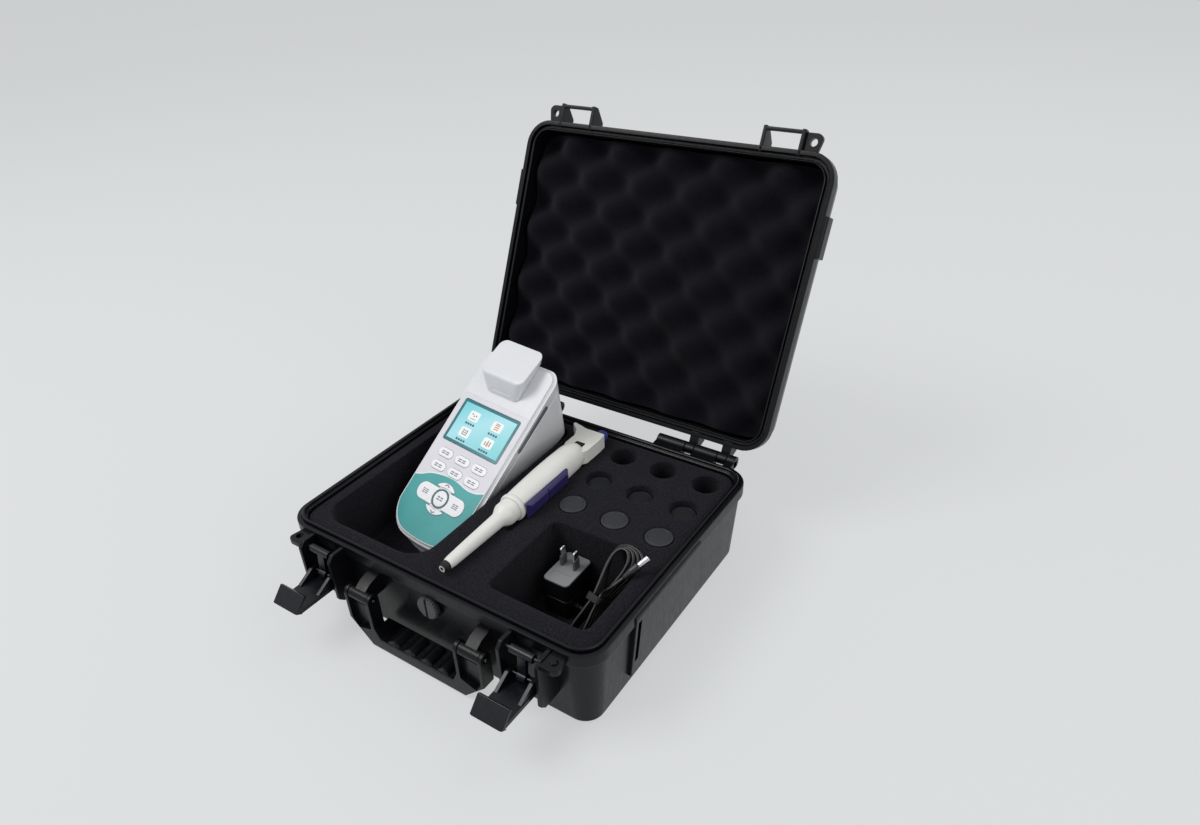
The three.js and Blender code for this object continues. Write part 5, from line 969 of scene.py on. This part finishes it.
def add_valve():
    x, up = 5, 58
    back = FRONT + BAND_STEP - SEAT
    face = back - 2.6
    front = face - SEAT - 3.6
    to_front = Matrix.Translation((x, 0, up)) @ TO_Y
    body = turned([(11, back), (11, face + 0.5), (10.5, face)], matrix=to_front)
    stub = drum("y", up, x, 4, back - 1, FRONT + BAND_WIDTH - SEAT)
    make("valve_seat", "case", [body, stub], [SHELL], "valve_body")
    rim = [(10.4, face - SEAT), (10.4, front + 1.4), (9.6, front + 0.5), (8.4, front)]
    knob = turned(rim, count=144, matrix=to_front, ribs=24, rib_depth=0.7, ribbed=(0, 1))
    slot = block(x - 1.2, x + 1.2, front - 2, front + 1.6, up - 12, up + 12)
    make("valve_cap", "valve_knob", [carve(knob, [slot])], [KNOB], "valve_knob")


add_base()
add_lid()
add_lid_foam()
add_base_foam()
add_latches()
add_handle()
add_pins()
add_valve()


# Meter
WEDGE = math.radians(15.6)
SCREEN_FRONT, METER_FRONT = 117, 26
TOP_HALF, BOTTOM_HALF, TOP_LENGTH, BOTTOM_LENGTH = 45.5, 33, 194, 180
METER_EDGE, METER_SEAM = 3, 14
SCREEN_Y = SCREEN_FRONT * math.cos(WEDGE)
SCREEN_Z = METER_FRONT + SCREEN_FRONT * math.sin(WEDGE)
FACE_IN_METER = Matrix.Translation((0, SCREEN_Y, SCREEN_Z)) @ Matrix.Rotation(WEDGE, 4, "X")


def meter_frame():
    turn = Matrix.Rotation(math.radians(-7.5), 4, "Z") @ Matrix.Rotation(math.radians(21.5), 4, "X")
    place = Vector((-65.6, 28.8, 110.6)) - turn @ Vector((0, SCREEN_Y, SCREEN_Z))
    return Matrix.Translation(place) @ turn


METER = meter_frame()
FACE = METER @ FACE_IN_METER
TO_FACE = FACE.inverted()


def meter_outline(half, front, back, inset):
    big, small, bow, steps, nose_steps = 27 - inset, 13 - inset, 5, 10, 12
    h = half - inset
    y0 = front + inset
    y1 = back - inset
    points = [*corner_arc(h - small, y1 - small, small, 0, steps)]
    points += corner_arc(-h + small, y1 - small, small, 1, steps)
    points += corner_arc(-h + big, y0 + big, big, 2, steps)
    points += [((-1 + 2 * i / nose_steps) * (h - big), y0) for i in range(1, nose_steps)]
    points += corner_arc(h - big, y0 + big, big, 3, steps)
    made = []
    for x, y in points:
        if y < y0 + big:
            y = min(y + bow * (1 - math.cos(math.pi * x / (2 * h))), y0 + big)
        made.append((x, y))
    return made


def lifted(outline, w):
    """An outline on the meter's face as a ring in the meter's frame, at a height over the face."""
    return [FACE_IN_METER @ Vector((u, v, w)) for u, v in outline]


def flattened(ring):
    """A ring in the meter's frame as an outline on the meter's face."""
    into = FACE_IN_METER.inverted()
    return dedupe([tuple((into @ point).xy) for point in ring])


def low_ring(z, inset):
    return [Vector((x, y, z)) for x, y in meter_outline(BOTTOM_HALF, 0, BOTTOM_LENGTH, inset)]


def face_outline(inset):
    return meter_outline(TOP_HALF, -SCREEN_FRONT, TOP_LENGTH - SCREEN_FRONT, inset)


def face_ring(w, inset):
    return lifted(face_outline(inset), w)


def side_ring(w, inset):
    """A ring of the meter's sides at a height under its face."""
    into = FACE_IN_METER.inverted()
    ring = []
    for low, high in zip(low_ring(METER_EDGE, inset), face_ring(-METER_EDGE, inset)):
        start = (into @ low).z
        end = (into @ high).z
        ring.append(low.lerp(high, (w - start) / (end - start)))
    return ring


def overlay_outline(grow):
    return [(u, min(v, 27 + grow)) for u, v in face_outline(4 - grow)]


def dedupe(points):
    kept = []
    for point in points:
        if not kept or (Vector(point) - Vector(kept[-1])).length > 0.02:
            kept.append(point)
    if (Vector(kept[0]) - Vector(kept[-1])).length < 0.02:
        kept.pop()
    return kept


KEY_PROUD, KEY_THICK = 0.6, 2.4
PAD = {"u": 1, "v": -72.5}
# The bars on a key: how far across and along they start, their width, height and corner
KEY_BARS = {
    "soft": ((-4.6, 0.5), (-1.5, 0.35), 4.1, 1.1, 0.3),
    "arrow_key_left": ((-23.4, -19.6), (-2, -0.3, 1.4), 3, 0.9, 0.25),
    "arrow_key_right": ((16.6, 20.4), (-2, -0.3, 1.4), 3, 0.9, 0.25),
    "enter_key": ((-3.6, 0.4), (-1.8, 0.5), 3.2, 1.3, 0.3),
}


def key_outlines(grow=0.0):
    """Each key's name and its outline on the meter's face."""
    keys = {}
    half_u = 9 + grow
    half_v = 4.3 + grow
    for row in range(2):
        for column in range(3):
            u = -22 + 22.25 * column
            v = -33.3 - 13.3 * row
            outline = round_rect(u - half_u, u + half_u, v - half_v, v + half_v, half_v * 0.98, 8)
            keys[f"soft_key_{row + 1}_{column + 1}"] = outline
    ring = 9.8 - grow
    lobe = 8.4 + grow
    far = 30 + grow
    corner = 8 + grow
    cross = math.radians(49) + 0.13 * grow
    tip = (6.75 - 1.15 * grow, 8 + 0.85 * grow)
    right = [(7.6, lobe), tip, *sweep(ring, cross, -2 * cross, 12), (tip[0], -tip[1]), (7.6, -lobe)]
    right += corner_arc(far - corner, -lobe + corner, corner, 3, 8)
    right += corner_arc(far - corner, lobe - corner, corner, 0, 8)
    for name, side in SIDES:
        outline = [(PAD["u"] + side * x, PAD["v"] + y) for x, y in right]
        keys[f"arrow_key_{name}"] = outline[::side]
    near = lobe + 1.4 - 2 * grow
    room = 10.8 - grow
    reach = 15.5 + grow
    start = math.asin(near / reach) + 0.07
    foot = math.sqrt(reach * reach - near * near) - 1.6
    inner = math.asin(min(1, near / room))
    up = [(foot, near), *sweep(reach, start, math.pi - 2 * start, 16), (-foot, near)]
    up += sweep(room, math.pi - inner, 2 * inner - math.pi, 8)
    for name, side in (("up", 1), ("down", -1)):
        outline = [(PAD["u"] + x, PAD["v"] + side * y) for x, y in up]
        keys[f"arrow_key_{name}"] = outline[::side]
    keys["enter_key"] = circle(7.6 + grow, PAD["u"], PAD["v"])
    return {name: dedupe(outline) for name, outline in keys.items()}


def offset(outline, distance):
    """Moves an anticlockwise outline inwards."""
    corners = [Vector(point) for point in outline]
    made = []
    for i, here in enumerate(corners):
        before = here - corners[i - 1]
        after = corners[(i + 1) % len(corners)] - here
        inward = Vector((-before.y, before.x)).normalized() + Vector((-after.y, after.x)).normalized()
        reach = distance / max(0.5, inward.length / 2)
        made.append(tuple(here + inward.normalized() * reach))
    return made


SCREEN_HALF = {"u": 36, "v": 22}


def screen_outline(grow):
    u = SCREEN_HALF["u"] + grow
    v = SCREEN_HALF["v"] + grow
    return round_rect(-u, u, -v, v, 2 + grow, 5)


WELL_V, WELL_RADIUS, WELL_WALL, WELL_DEPTH = 52, 12.8, 1.8, 34
COVER_HINGE_V, COVER_HINGE_UP = 79, 4.4


def side_groove(side):
    slope = (TOP_HALF - BOTTOM_HALF) / (SCREEN_Z + METER_FRONT)
    outline = round_rect(-13, -7, -3, 47, 2.9, 6)
    rings = [[(side * (TOP_HALF + slope * w + out), v, w) for w, v in outline] for out in (-1.6, 3)]
    return moved(loft(rings), FACE_IN_METER)


def add_meter_shell():
    """The housing's two halves, with a seam between them and a stepped recess for film, screen and keys."""
    gap, seam_round, step_down, floor_down = 0.15, 0.6, -1.1, -3.2
    top_seam = -METER_SEAM + gap
    low_seam = -METER_SEAM - gap
    edge = list(quarter_turn(METER_EDGE, 4))
    face_edge = [face_ring(down - METER_EDGE, METER_EDGE - inset) for inset, down in edge]
    hole = circle(14.9, 0, WELL_V)
    recess = dedupe(overlay_outline(SEAT))
    pockets = [screen_outline(SEAT), *key_outlines(SEAT).values()]
    seam = side_ring(top_seam, seam_round)
    sides = loft([seam, side_ring(-METER_SEAM + seam_round, 0), *face_edge], caps=False)
    flat = [fill([face_outline(METER_EDGE), recess, hole]), walls(recess, step_down, 0)]
    flat += [fill([recess, *pockets], step_down), fill([flattened(seam), hole], top_seam)]
    through = loft([lifted(hole, top_seam), lifted(hole, 0)], caps=False)
    upper = tidy(joined([sides, moved(joined(flat), FACE_IN_METER), through]))
    upper = carve(upper, [side_groove(-1), side_groove(1)], dark=True)
    pits = [walls(pocket, floor_down, step_down) for pocket in pockets]
    inner = [*pits, fill([recess], floor_down)]
    v, h, half, radius = COVER_HINGE_V, COVER_HINGE_UP, 7, 3.7
    web = [(v - radius, -2.2), (v - radius, h), (v + radius, h), (v + 1.8, -2.2)]
    lug = [prism(web, "x", -half, half, 0.4), drum("x", v, h, radius, -half, half, 0.4)]
    parts = [upper, moved(joined(inner), FACE_IN_METER), moved(joined(lug), FACE_IN_METER)]
    parts = [moved(part, METER) for part in parts]
    make("meter_upper", "meter", parts, [WHITE, GROOVE], "meter_upper_housing")
    rings = [low_ring(up, inset) for inset, up in edge]
    rings += [side_ring(-METER_SEAM - seam_round, 0), side_ring(low_seam, seam_round)]
    base = bmesh.new()
    base.faces.new([base.verts.new(point) for point in rings[0]])
    top = moved(fill([flattened(rings[-1]), hole], low_seam), FACE_IN_METER)
    lower = joined([loft(rings, caps=False), base, top])
    bmesh.ops.recalc_face_normals(lower, faces=lower.faces)
    make("meter_lower", "meter", [moved(lower, METER)], [WHITE], "meter_lower_housing")


def overlay_material():
    """Satin film: lavender grey above, teal below a wavy line, told apart by the place on the face."""
    nodes = material_nodes("face_film")
    across, along = nodes.chart()
    curve = nodes.add("FloatCurve", {"Value": nodes.math("ADD", across, 0.5)})
    wave = ((0, 0.18), (0.05, 0.2), (0.1, 0.233), (0.3, 0.51))
    wave += ((0.52, 0.6), (0.77, 0.513), (0.935, 0.677), (1, 0.74))
    line = curve.mapping.curves[0]
    while len(line.points) < len(wave):
        line.points.new(0.5, 0.5)
    for knot, place in zip(line.points, wave):
        knot.location = place
    curve.mapping.update()
    height = nodes.range(along, 0, 1, start=-0.7, end=-0.4)
    above = nodes.math("SUBTRACT", height, curve.outputs["Value"])
    teal_edge = nodes.range(above, 0, 1, start=0.0, end=0.012)
    white_line = nodes.range(above, 0, 1, start=0.035, end=0.05)
    patch = nodes.range(nodes.noise(30, detail=3), 0, 1, start=0.3, end=0.7)
    teal = nodes.blend(patch, linear(43, 150, 150), linear(52, 160, 159))
    field = nodes.blend(patch, linear(214, 211, 218), linear(221, 218, 224))
    edged = nodes.blend(white_line, linear(236, 236, 240), field)
    printed = nodes.blend(teal_edge, teal, edged)
    from_pad = []
    for place, middle in ((across, PAD["u"]), (along, PAD["v"])):
        apart = nodes.math("SUBTRACT", place, middle * 0.01)
        from_pad.append(nodes.math("MULTIPLY", apart, apart))
    away = nodes.math("SQRT", nodes.math("ADD", *from_pad))
    pad = nodes.range(away, 1, 0, start=0.117, end=0.119)
    colour = nodes.blend(pad, printed, linear(232, 232, 236))
    nodes.put(nodes.shader, {"Base Color": colour, "Roughness": 0.38})
    nodes.bump(nodes.noise(0.5), 0.25, 0.01)
    return nodes.owner


def screen_material():
    """A lit display: a cyan field that pales towards its middle, in a dark teal frame."""
    nodes = material_nodes("display")
    across, along = nodes.chart()
    far_u = nodes.math("SUBTRACT", 0.36, nodes.math("ABSOLUTE", across))
    far_v = nodes.math("SUBTRACT", 0.22, nodes.math("ABSOLUTE", along))
    inside = nodes.range(nodes.math("MINIMUM", far_u, far_v), 0, 1, start=0.028, end=0.031)
    slant = nodes.math("ADD", across, nodes.math("MULTIPLY", along, -1.5))
    falling = nodes.range(slant, 0, 1, start=-0.1, end=0.62)
    rising = nodes.range(slant, 1, 0, start=-0.6, end=-0.05)
    field = nodes.blend(falling, linear(178, 232, 241), linear(96, 200, 206))
    field = nodes.blend(rising, field, linear(120, 214, 222))
    colour = nodes.blend(inside, linear(38, 112, 120), field)
    nodes.put(nodes.shader, {"Base Color": colour, "Roughness": 0.16})
    nodes.bump(nodes.noise(6), 0.1, 0.02)
    return nodes.owner


def on_face(outline, low, high, edge=0.0):
    outline = dedupe(outline)
    rings = [level(outline, low), level(outline, high - edge)]
    if edge:
        rings.append(level(offset(outline, edge * 0.3), high - edge * 0.3))
        rings.append(level(offset(outline, edge), high))
    return moved(loft(rings), FACE)


def mark(u, v, wide, tall, corner, low, high):
    """A thin printed bar on the meter's face, from its lower left corner."""
    return on_face(round_rect(u, u + wide, v, v + tall, corner, 2), low, high)


def add_face():
    holes = [screen_outline(SEAT), *key_outlines(SEAT).values()]
    film = plate([dedupe(overlay_outline(0.22)), *holes], -0.8, 0)
    ring = plate([circle(radius, PAD["u"], PAD["v"]) for radius in (9.4, 8)], -0.9, 0.3)
    parts = [(moved(film, FACE), 0), (moved(ring, FACE), 1)]
    make("face_film", "meter", parts, [overlay_material(), RING], "meter_face_overlay", TO_FACE)
    tiles = []
    marks = []
    for column, u in enumerate((-15.6, 14.8)):
        for row, v in enumerate((8.6, -8.4)):
            tile = round_rect(u - 6.4, u + 6.4, v - 4.8, v + 4.8, 1.6, 5)
            tiles.append((on_face(tile, 0, 0.13, 0.06), 1))
            for i in range(4):
                left = u - 6 + i * 3.1
                bar = round_rect(left, left + 2.3, v - 9.2, v - 7.2, 0.4, 3)
                marks.append((on_face(bar, 0, 0.11), 2))
            marks += icon(column * 2 + row, u, v)
    glass = on_face(screen_outline(0), -1.6, 0.05, 0.25)
    materials = [screen_material(), TILE, INK, WARM, SLATE]
    make("display_glass", "meter", [(glass, 0), *tiles, *marks], materials, "meter_screen", TO_FACE)


def icon(kind, u, v):
    """Simple shapes on a tile: bars, lines and dots that stand for nothing in particular."""
    shapes = []

    def bar(du0, du1, dv0, dv1, index):
        outline = round_rect(u + du0, u + du1, v + dv0, v + dv1, min(0.25, (dv1 - dv0) / 3), 3)
        shapes.append((on_face(outline, 0.1, 0.2), index))

    if kind == 0:
        for i, high in enumerate((3.4, 1.8, 2.6)):
            bar(-3.4 + i * 2.6, -2.2 + i * 2.6, high - 2.4, high - 0.8, 4)
        bar(-3.8, 3.6, -3, -2.5, 4)
    elif kind == 1:
        for i in range(3):
            bar(-3, 3, -2.6 + i * 2, -1.9 + i * 2, 4)
        bar(-3, -2.4, -2.6, 3, 4)
        bar(2.4, 3, -2.6, 3, 4)
    elif kind == 2:
        for i in range(3):
            bar(-2.8, 2.8, -3.1 + i * 2, -2 + i * 2, 3)
        bar(-2.8, 2.8, 2.6, 3.3, 4)
    else:
        bar(-1.2, 1.2, -3, 0.4, 3)
        bar(-0.5, 0.5, 0.4, 2.8, 4)
        bar(-3.4, -2.4, -2.6, 1.2, 4)
        bar(2.4, 3.4, -2.6, 2.2, 4)
    return shapes


def key_marks(name, outline):
    """Bars on a key, or a chevron that points up or down."""
    low = KEY_PROUD
    high = low + 0.19
    if name in ("arrow_key_up", "arrow_key_down"):
        side = 1 if name.endswith("up") else -1
        shapes = []
        for lean in (-1, 1):
            point = Vector((PAD["u"], PAD["v"] + side * 14.4))
            end = Vector((PAD["u"] + lean * 2.6, PAD["v"] + side * 12.6))
            line = (end - point).normalized() * 0.5
            across = Vector((-line.y, line.x)) * (-lean * side)
            stroke = [point - across, point + across, end + across, end - across]
            shapes.append(on_face([tuple(p) for p in stroke], low, high))
        return shapes
    u, v = PAD["u"], PAD["v"]
    if name.startswith("soft"):
        u, v = sum((Vector(point) for point in outline), Vector((0, 0))) / len(outline)
    starts, lifts, wide, tall, corner = next(row for kind, row in KEY_BARS.items() if name.startswith(kind))
    return [mark(u + du, v + dv, wide, tall, corner, low, high) for du in starts for dv in lifts]


def add_keys():
    for name, outline in key_outlines().items():
        steps = [(0, KEY_PROUD - 0.35), (0.12, KEY_PROUD - 0.12), (0.4, KEY_PROUD)]
        if not name.startswith("arrow"):
            steps.append((1.3, KEY_PROUD + 0.16))
        rings = [level(outline, KEY_PROUD - KEY_THICK)]
        rings += [level(offset(outline, inset) if inset else outline, height) for inset, height in steps]
        marks = [(shape, 1) for shape in key_marks(name, outline)]
        make(f"{name}_cap", name, [(moved(loft(rings), FACE), 0), *marks], [KEY, LEGEND], name)


def add_cover():
    """A hood whose front leans back from its foot to a brow, with a top that falls to the back."""
    top_front, fall = 46, 0.42 / 40
    foot = ((0.3, 20.2, 36.4, 82.8, 5), (0.9, 20.6, 36.2, 83, 5.4), (5, 22.2, 39.1, 83.8, 6))
    sides = ((10, 24.4, 42.9, 84.8, 7), (14.8, 26.4, 46.7, 85.8, 8), (15.9, 26.8, 47.6, 86, 8))
    brow = ((16.6, 26.5, 48.6, 85.8, 7.8), (17, 25.4, 50.2, 85, 7.4), (17.1, 23.4, 53, 83, 6))
    rings = []
    for height, half, front, rear_v, corner in foot + sides + brow:
        outline = round_rect(-half, half, front, rear_v, corner)
        rings.append([(u, v, height * (1 - fall * max(0, v - top_front))) for u, v in outline])
    v, h = COVER_HINGE_V, COVER_HINGE_UP
    hollow = turned([(15.1, -2), (15.1, 1.9), (12, 2.6), (7, 7)], 0, WELL_V)
    rear = block(-30.5, 30.5, v, v + 17, -2, h)
    slot = block(-7.6, 7.6, v - 4.3, v + 17, -2, h + 4.1)
    grip = prism([(z, x) for x, z in round_rect(-12, 12, 4.2, 5.4, 0.5, 3)], "y", 36, 40.4)
    body = carve(loft(rings), [hollow, rear, slot, grip])
    barrels = [drum("x", v, h, 4, low, high, 0.4) for low, high in ((-18, -7.6), (7.6, 18))]
    parts = [moved(part, FACE) for part in (body, *barrels)]
    make("cover_shell", "cuvette_cover", parts, [WHITE], "cuvette_cover")
    pin = moved(drum("x", v, h, 1.5, -17.5, 17.5, 0.3), FACE)
    make("cover_rod", "meter", [pin], [STEEL], "cover_hinge_pin")


def add_well():
    y0 = SCREEN_Y + WELL_V * math.cos(WEDGE)
    floor = SCREEN_Z + WELL_V * math.sin(WEDGE) - WELL_DEPTH

    def slanted(radius, w):
        points = []
        for x, y in circle(radius, 0, y0):
            points.append((x, y, SCREEN_Z + (w + math.sin(WEDGE) * (y - SCREEN_Y)) / math.cos(WEDGE)))
        return points

    outer = WELL_RADIUS + WELL_WALL
    rings = [level(circle(outer, 0, y0), floor - WELL_WALL), slanted(outer, 0.9), slanted(outer - 0.4, 1.2)]
    rings += [slanted(WELL_RADIUS + 0.4, 1.2), slanted(WELL_RADIUS, 0.9)]
    rings.append(level(circle(WELL_RADIUS, 0, y0), floor))
    make("well_tube", "meter", [moved(loft(rings), METER)], [WELL], "cuvette_well")


add_meter_shell()
add_face()
add_keys()
add_cover()
add_well()


# Pipette
PIPETTE = {"x": 7, "z": 84.6, "tip": -112, "collar_end": -106, "front": -24, "back": 74}


def add_pipette():
    px, pz = PIPETTE["x"], PIPETTE["z"]
    tip, collar_end, start, end = (PIPETTE[key] for key in ("tip", "collar_end", "front", "back"))
    plunger_x = px + 6
    ejector_x = px - 4.5

    def along_line(profile, round_by=0.6, x=px, **turning):
        matrix = Matrix.Translation((x, 0, pz)) @ TO_Y
        points = fillet(profile, round_by) if round_by else profile
        return turned(points, matrix=matrix, **turning)

    def bore(x, radius, low, high, count=ROUND):
        return drum("y", pz, x, radius, low, high, count=count)

    collar = along_line([(3.4, tip), (3.4, tip + 2), (4.4, tip + 2), (4.4, collar_end)], 0.4, count=64)
    ring = along_line([(2.9, tip - 0.05), (2.9, tip + 1.2)], 0.2, count=64)
    parts = [(carve(part, [bore(px, 1.7, tip - 1, tip + 4)]), i) for i, part in enumerate((collar, ring))]
    make("tip_ring", "pipette", parts, [RUBBER, IVORY], "tip_collar")
    first = collar_end + SEAT
    nose = [(4.4, first), (5.1, first + 4), (5.8, -80), (6.6, -46), (6.8, -41), (8.4, -38), (10.4, -34)]
    nose += [(10.6, -32), (10.6, start - SEAT)]
    make("nose_shaft", "pipette", [along_line(nose, 1.6, count=64)], [IVORY], "nose_cone")
    middle = (start + end) / 2
    barrel = [(11.4, start), (12.6, start + 1.2), (12.6, start + 4), (11.8, start + 5), (12.5, start + 18)]
    barrel += [(13.5, middle), (13.5, middle + 18), (13.1, end - 12), (12.2, end - 4), (10.4, end)]
    shares = ((-0.59, 0), (0.59, 0), (0.96, 0.16), (1, 0.68), (0.94, 1), (-0.63, 1), (-1.1, 1.05))
    shares += ((-1.69, 1.105), (-1.76, 1.03), (-1.18, 0.87), (-0.85, 0.63), (-0.88, 0.21))
    head = fillet([(px + x * 13.6, 66 + y * 38) for x, y in shares], 2, closed=True)
    head = prism(head, "z", pz - 7, pz + 7, 1.6, 3)
    head = carve(head, [bore(plunger_x, 5.9, 92, 120), bore(ejector_x, 3.8, 96, 120)])
    window = prism(round_rect(px - 4, px + 6, 72, 82, 1.6, 5), "z", pz + 6, pz + 20)
    parts = [(along_line(barrel, 1.6, count=64), 0), carve(head, [window], dark=True)]
    make("pipette_barrel", "pipette", parts, [IVORY, RUBBER], "pipette_body")
    panel = [(9.8, -7), (14.4, -7), (17, -4.4), (17, 4.4), (14.4, 7), (9.8, 7)]
    bar = prism([(pz + z, px + x) for x, z in panel], "y", -20, 41, 0.8)
    trims = []
    for y, sign in ((-21, 1), (42, -1)):
        wedge = [(px + 13.4, y), (px + 18.5, y), (px + 18.5, y + sign * 7.6)]
        trims.append(prism(wedge[::sign], "z", pz - 9, pz + 9))
    trims.append(bore(px, 14.1, -24, 45, 64))
    bar = carve(bar, trims)
    bar = carve(bar, [block(px + 15.5, px + 18, 8, 9.2, pz - 8, pz + 8)])
    make("side_bar", "pipette", [bar], [NAVY], "side_panel")
    button = [(5.5, 99.3), (5.5, 110), (5.2, 111.6), (4.2, 112.8), (2, 113)]
    cap = along_line(button, 0, plunger_x, count=72, ribs=18, rib_depth=0.4, ribbed=(1,))
    parts = [cap, bore(plunger_x, 2.5, 83, 100)]
    make("plunger_cap", "plunger", parts, [BLUE], "plunger_button")
    ejector = along_line([(3.4, 100.3), (3.4, 109), (2, 109)], 0.8, ejector_x, count=32)
    make("ejector_cap", "ejector", [ejector], [BLUE], "ejector_button")


def add_adapter():
    x, y, half_x, half_y, low, top = 67, -30, 12.5, 19, 12.3, 50
    split = (low + top) / 2
    table = [(1.2, low), (0.4, low + 0.3), (0, low + 1.2), (0, split - 0.4), (0.35, split - 0.15)]
    table += [(0.35, split + 0.15), (0, split + 0.4), (0, top - 1.4), (0.4, top - 0.4), (1.3, top)]
    rings = []
    for inset, z in table:
        u = half_x - inset
        v = half_y - inset
        rings.append(level(round_rect(x - u, x + u, y - v, y + v, 4 - inset), z))
    panel = prism(round_rect(x - 8.5, x + 8.5, y - 15.5, y - 6.5, 1.2, 4), "z", top - 0.4, top + 1)
    body = carve(loft(rings), [panel])
    # Faces near the top keep the adapter plastic; all lower faces take the near-black copy, painted shade on
    # the sides.
    for face in body.faces:
        face.material_index = 0 if face.calc_center_median().z > top - 1.6 else 1
    make("adapter_case", "case", [body], [ADAPTER, ADAPTER_SHADED_SIDE], "adapter_housing")
    pin = [(-29.2, top), (-22.8, top), (-22.8, top + 16.6), (-24, top + 18)]
    pin += [(-28, top + 18), (-29.2, top + 16.6)]
    for name, side in SIDES:
        middle = x + side * 12.7 / 2
        sheath = block(middle - 1.25, middle + 1.25, -29.7, -22.3, top - 4, top + 10, 0.3)
        blade = prism(pin, "x", middle - 0.75, middle + 0.75, 0.25)
        parts = [(sheath, 1), (blade, 0)]
        make(f"prong_{name}", "case", parts, [STEEL, SHEATH], f"adapter_prong_{name}")


def add_vials():
    for index in range(6):
        row, column = divmod(index, 3)
        x = 42.4 + column * 42.5
        y = 16.5 + row * 41.8
        top = 77.5 - 6 * row
        foot = top - 52
        neck = top - 12
        bottle = [(10, foot), (11.4, foot + 0.6), (12, foot + 2)]
        bottle += [(12, neck - 3), (10.9, neck - 1.4), (10.8, neck)]
        glass = turned(fillet(bottle, 0.5, 2), x, y)
        cap = [(11, neck), (11.95, neck + 0.5), (11.95, top - 1.2), (11.6, top - 0.4), (10.9, top)]
        cap += [(9.9, top), (9.5, top - 0.45), (8.9, top - 0.45), (8.6, top - 0.15), (4, top - 0.1)]
        parts = [(turned(cap, x, y, count=192, ribs=48, rib_depth=0.35, ribbed=(1, 2)), 0), (glass, 1)]
        name = f"vial_{index + 1}"
        # The second row's caps take the darker copy of the cap plastic: painted shade, as that row sits 6 mm
        # lower in the foam.
        make(f"{name}_bottle", name, parts, [(CAP, SHADED_CAP)[row], BOTTLE], name)


add_pipette()
add_adapter()
add_vials()


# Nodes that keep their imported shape
KEPT = {"lid_gasket": RUBBER, "battery_cover": WHITE}
for kept_name, kept_material in KEPT.items():
    kept_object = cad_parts[kept_name]
    for kept_slot in kept_object.material_slots:
        kept_slot.material = kept_material
    welded = kept_object.modifiers.new("weld", "WELD")
    welded.merge_threshold = 1e-6
    rounded = kept_object.modifiers.new("round", "BEVEL")
    rounded.width = 0.4 * MM
    rounded.segments = 2
    rounded.limit_method = "ANGLE"
    rounded.angle_limit = math.radians(40)


# Stage: a pale floor, a pale surround and soft lights
PALE = linear(221, 223, 224)
SHADOW_SHARE = 0.32
LIGHTS_AIM = (0, 0.02, 0.08)


def seen_rays(nodes):
    """One where the camera looks, or a mirror or a clear material shows what lies behind."""
    path = nodes.add("LightPath", {})
    total = path.outputs["Is Camera Ray"]
    for name in ("Is Glossy Ray", "Is Transmission Ray"):
        total = nodes.math("MAXIMUM", total, path.outputs[name])
    return total


def show(nodes, lit, seen, output):
    """Gives the rays that are seen a shader of their own, and joins both to the output."""
    mix = nodes.add("MixShader", {"Fac": seen_rays(nodes), 1: lit, 2: seen})
    nodes.put(nodes.tree.nodes[output], {"Surface": mix.outputs["Shader"]})


def add_floor():
    size, height = 14, -0.0005
    mesh = bpy.data.meshes.new("floor")
    corners = [(x * size, y * size, height) for x, y in ((-1, -1), (1, -1), (1, 1), (-1, 1))]
    mesh.from_pydata(corners, [], [(0, 1, 2, 3)])
    floor = add_object("floor", mesh)
    nodes = material_nodes("floor")
    nodes.put(nodes.shader, {"Base Color": shade(PALE, 0.9), "Roughness": 1, "Specular IOR Level": 0})
    shadow = nodes.add("BsdfDiffuse", {"Color": shade(PALE, SHADOW_SHARE)})
    glow = nodes.add("Emission", {"Color": PALE, "Strength": 1 - SHADOW_SHARE})
    total = nodes.add("AddShader", {0: shadow.outputs["BSDF"], 1: glow.outputs["Emission"]})
    show(nodes, nodes.shader.outputs["BSDF"], total.outputs["Shader"], "Material Output")
    mesh.materials.append(nodes.owner)


def add_world():
    world = bpy.data.worlds.new("surround")
    bpy.context.scene.world = world
    nodes = Nodes(world, "Background")
    nodes.put(nodes.shader, {"Color": (0.96, 0.98, 1, 1), "Strength": 0.5})
    seen = nodes.add("Background", {"Color": PALE})
    show(nodes, nodes.shader.outputs["Background"], seen.outputs["Background"], "World Output")


def add_light(name, place, size, power):
    data = bpy.data.lights.new(name, "AREA")
    data.shape = "RECTANGLE"
    data.size = size
    data.size_y = size
    data.energy = power
    light = add_object(name, data)
    line = Vector(place) - Vector(LIGHTS_AIM)
    light.rotation_euler = line.to_track_quat("Z", "Y").to_euler()
    light.location = place


add_floor()
add_world()
add_light("key_light", (-1.1, -1.0, 2.0), 1.2, 28)
add_light("back_light", (0.6, 1.6, 1.9), 1.6, 9)
add_light("side_light", (2.2, -0.4, 1.0), 1.4, 12)

bpy.context.scene.view_settings.view_transform = "Standard"
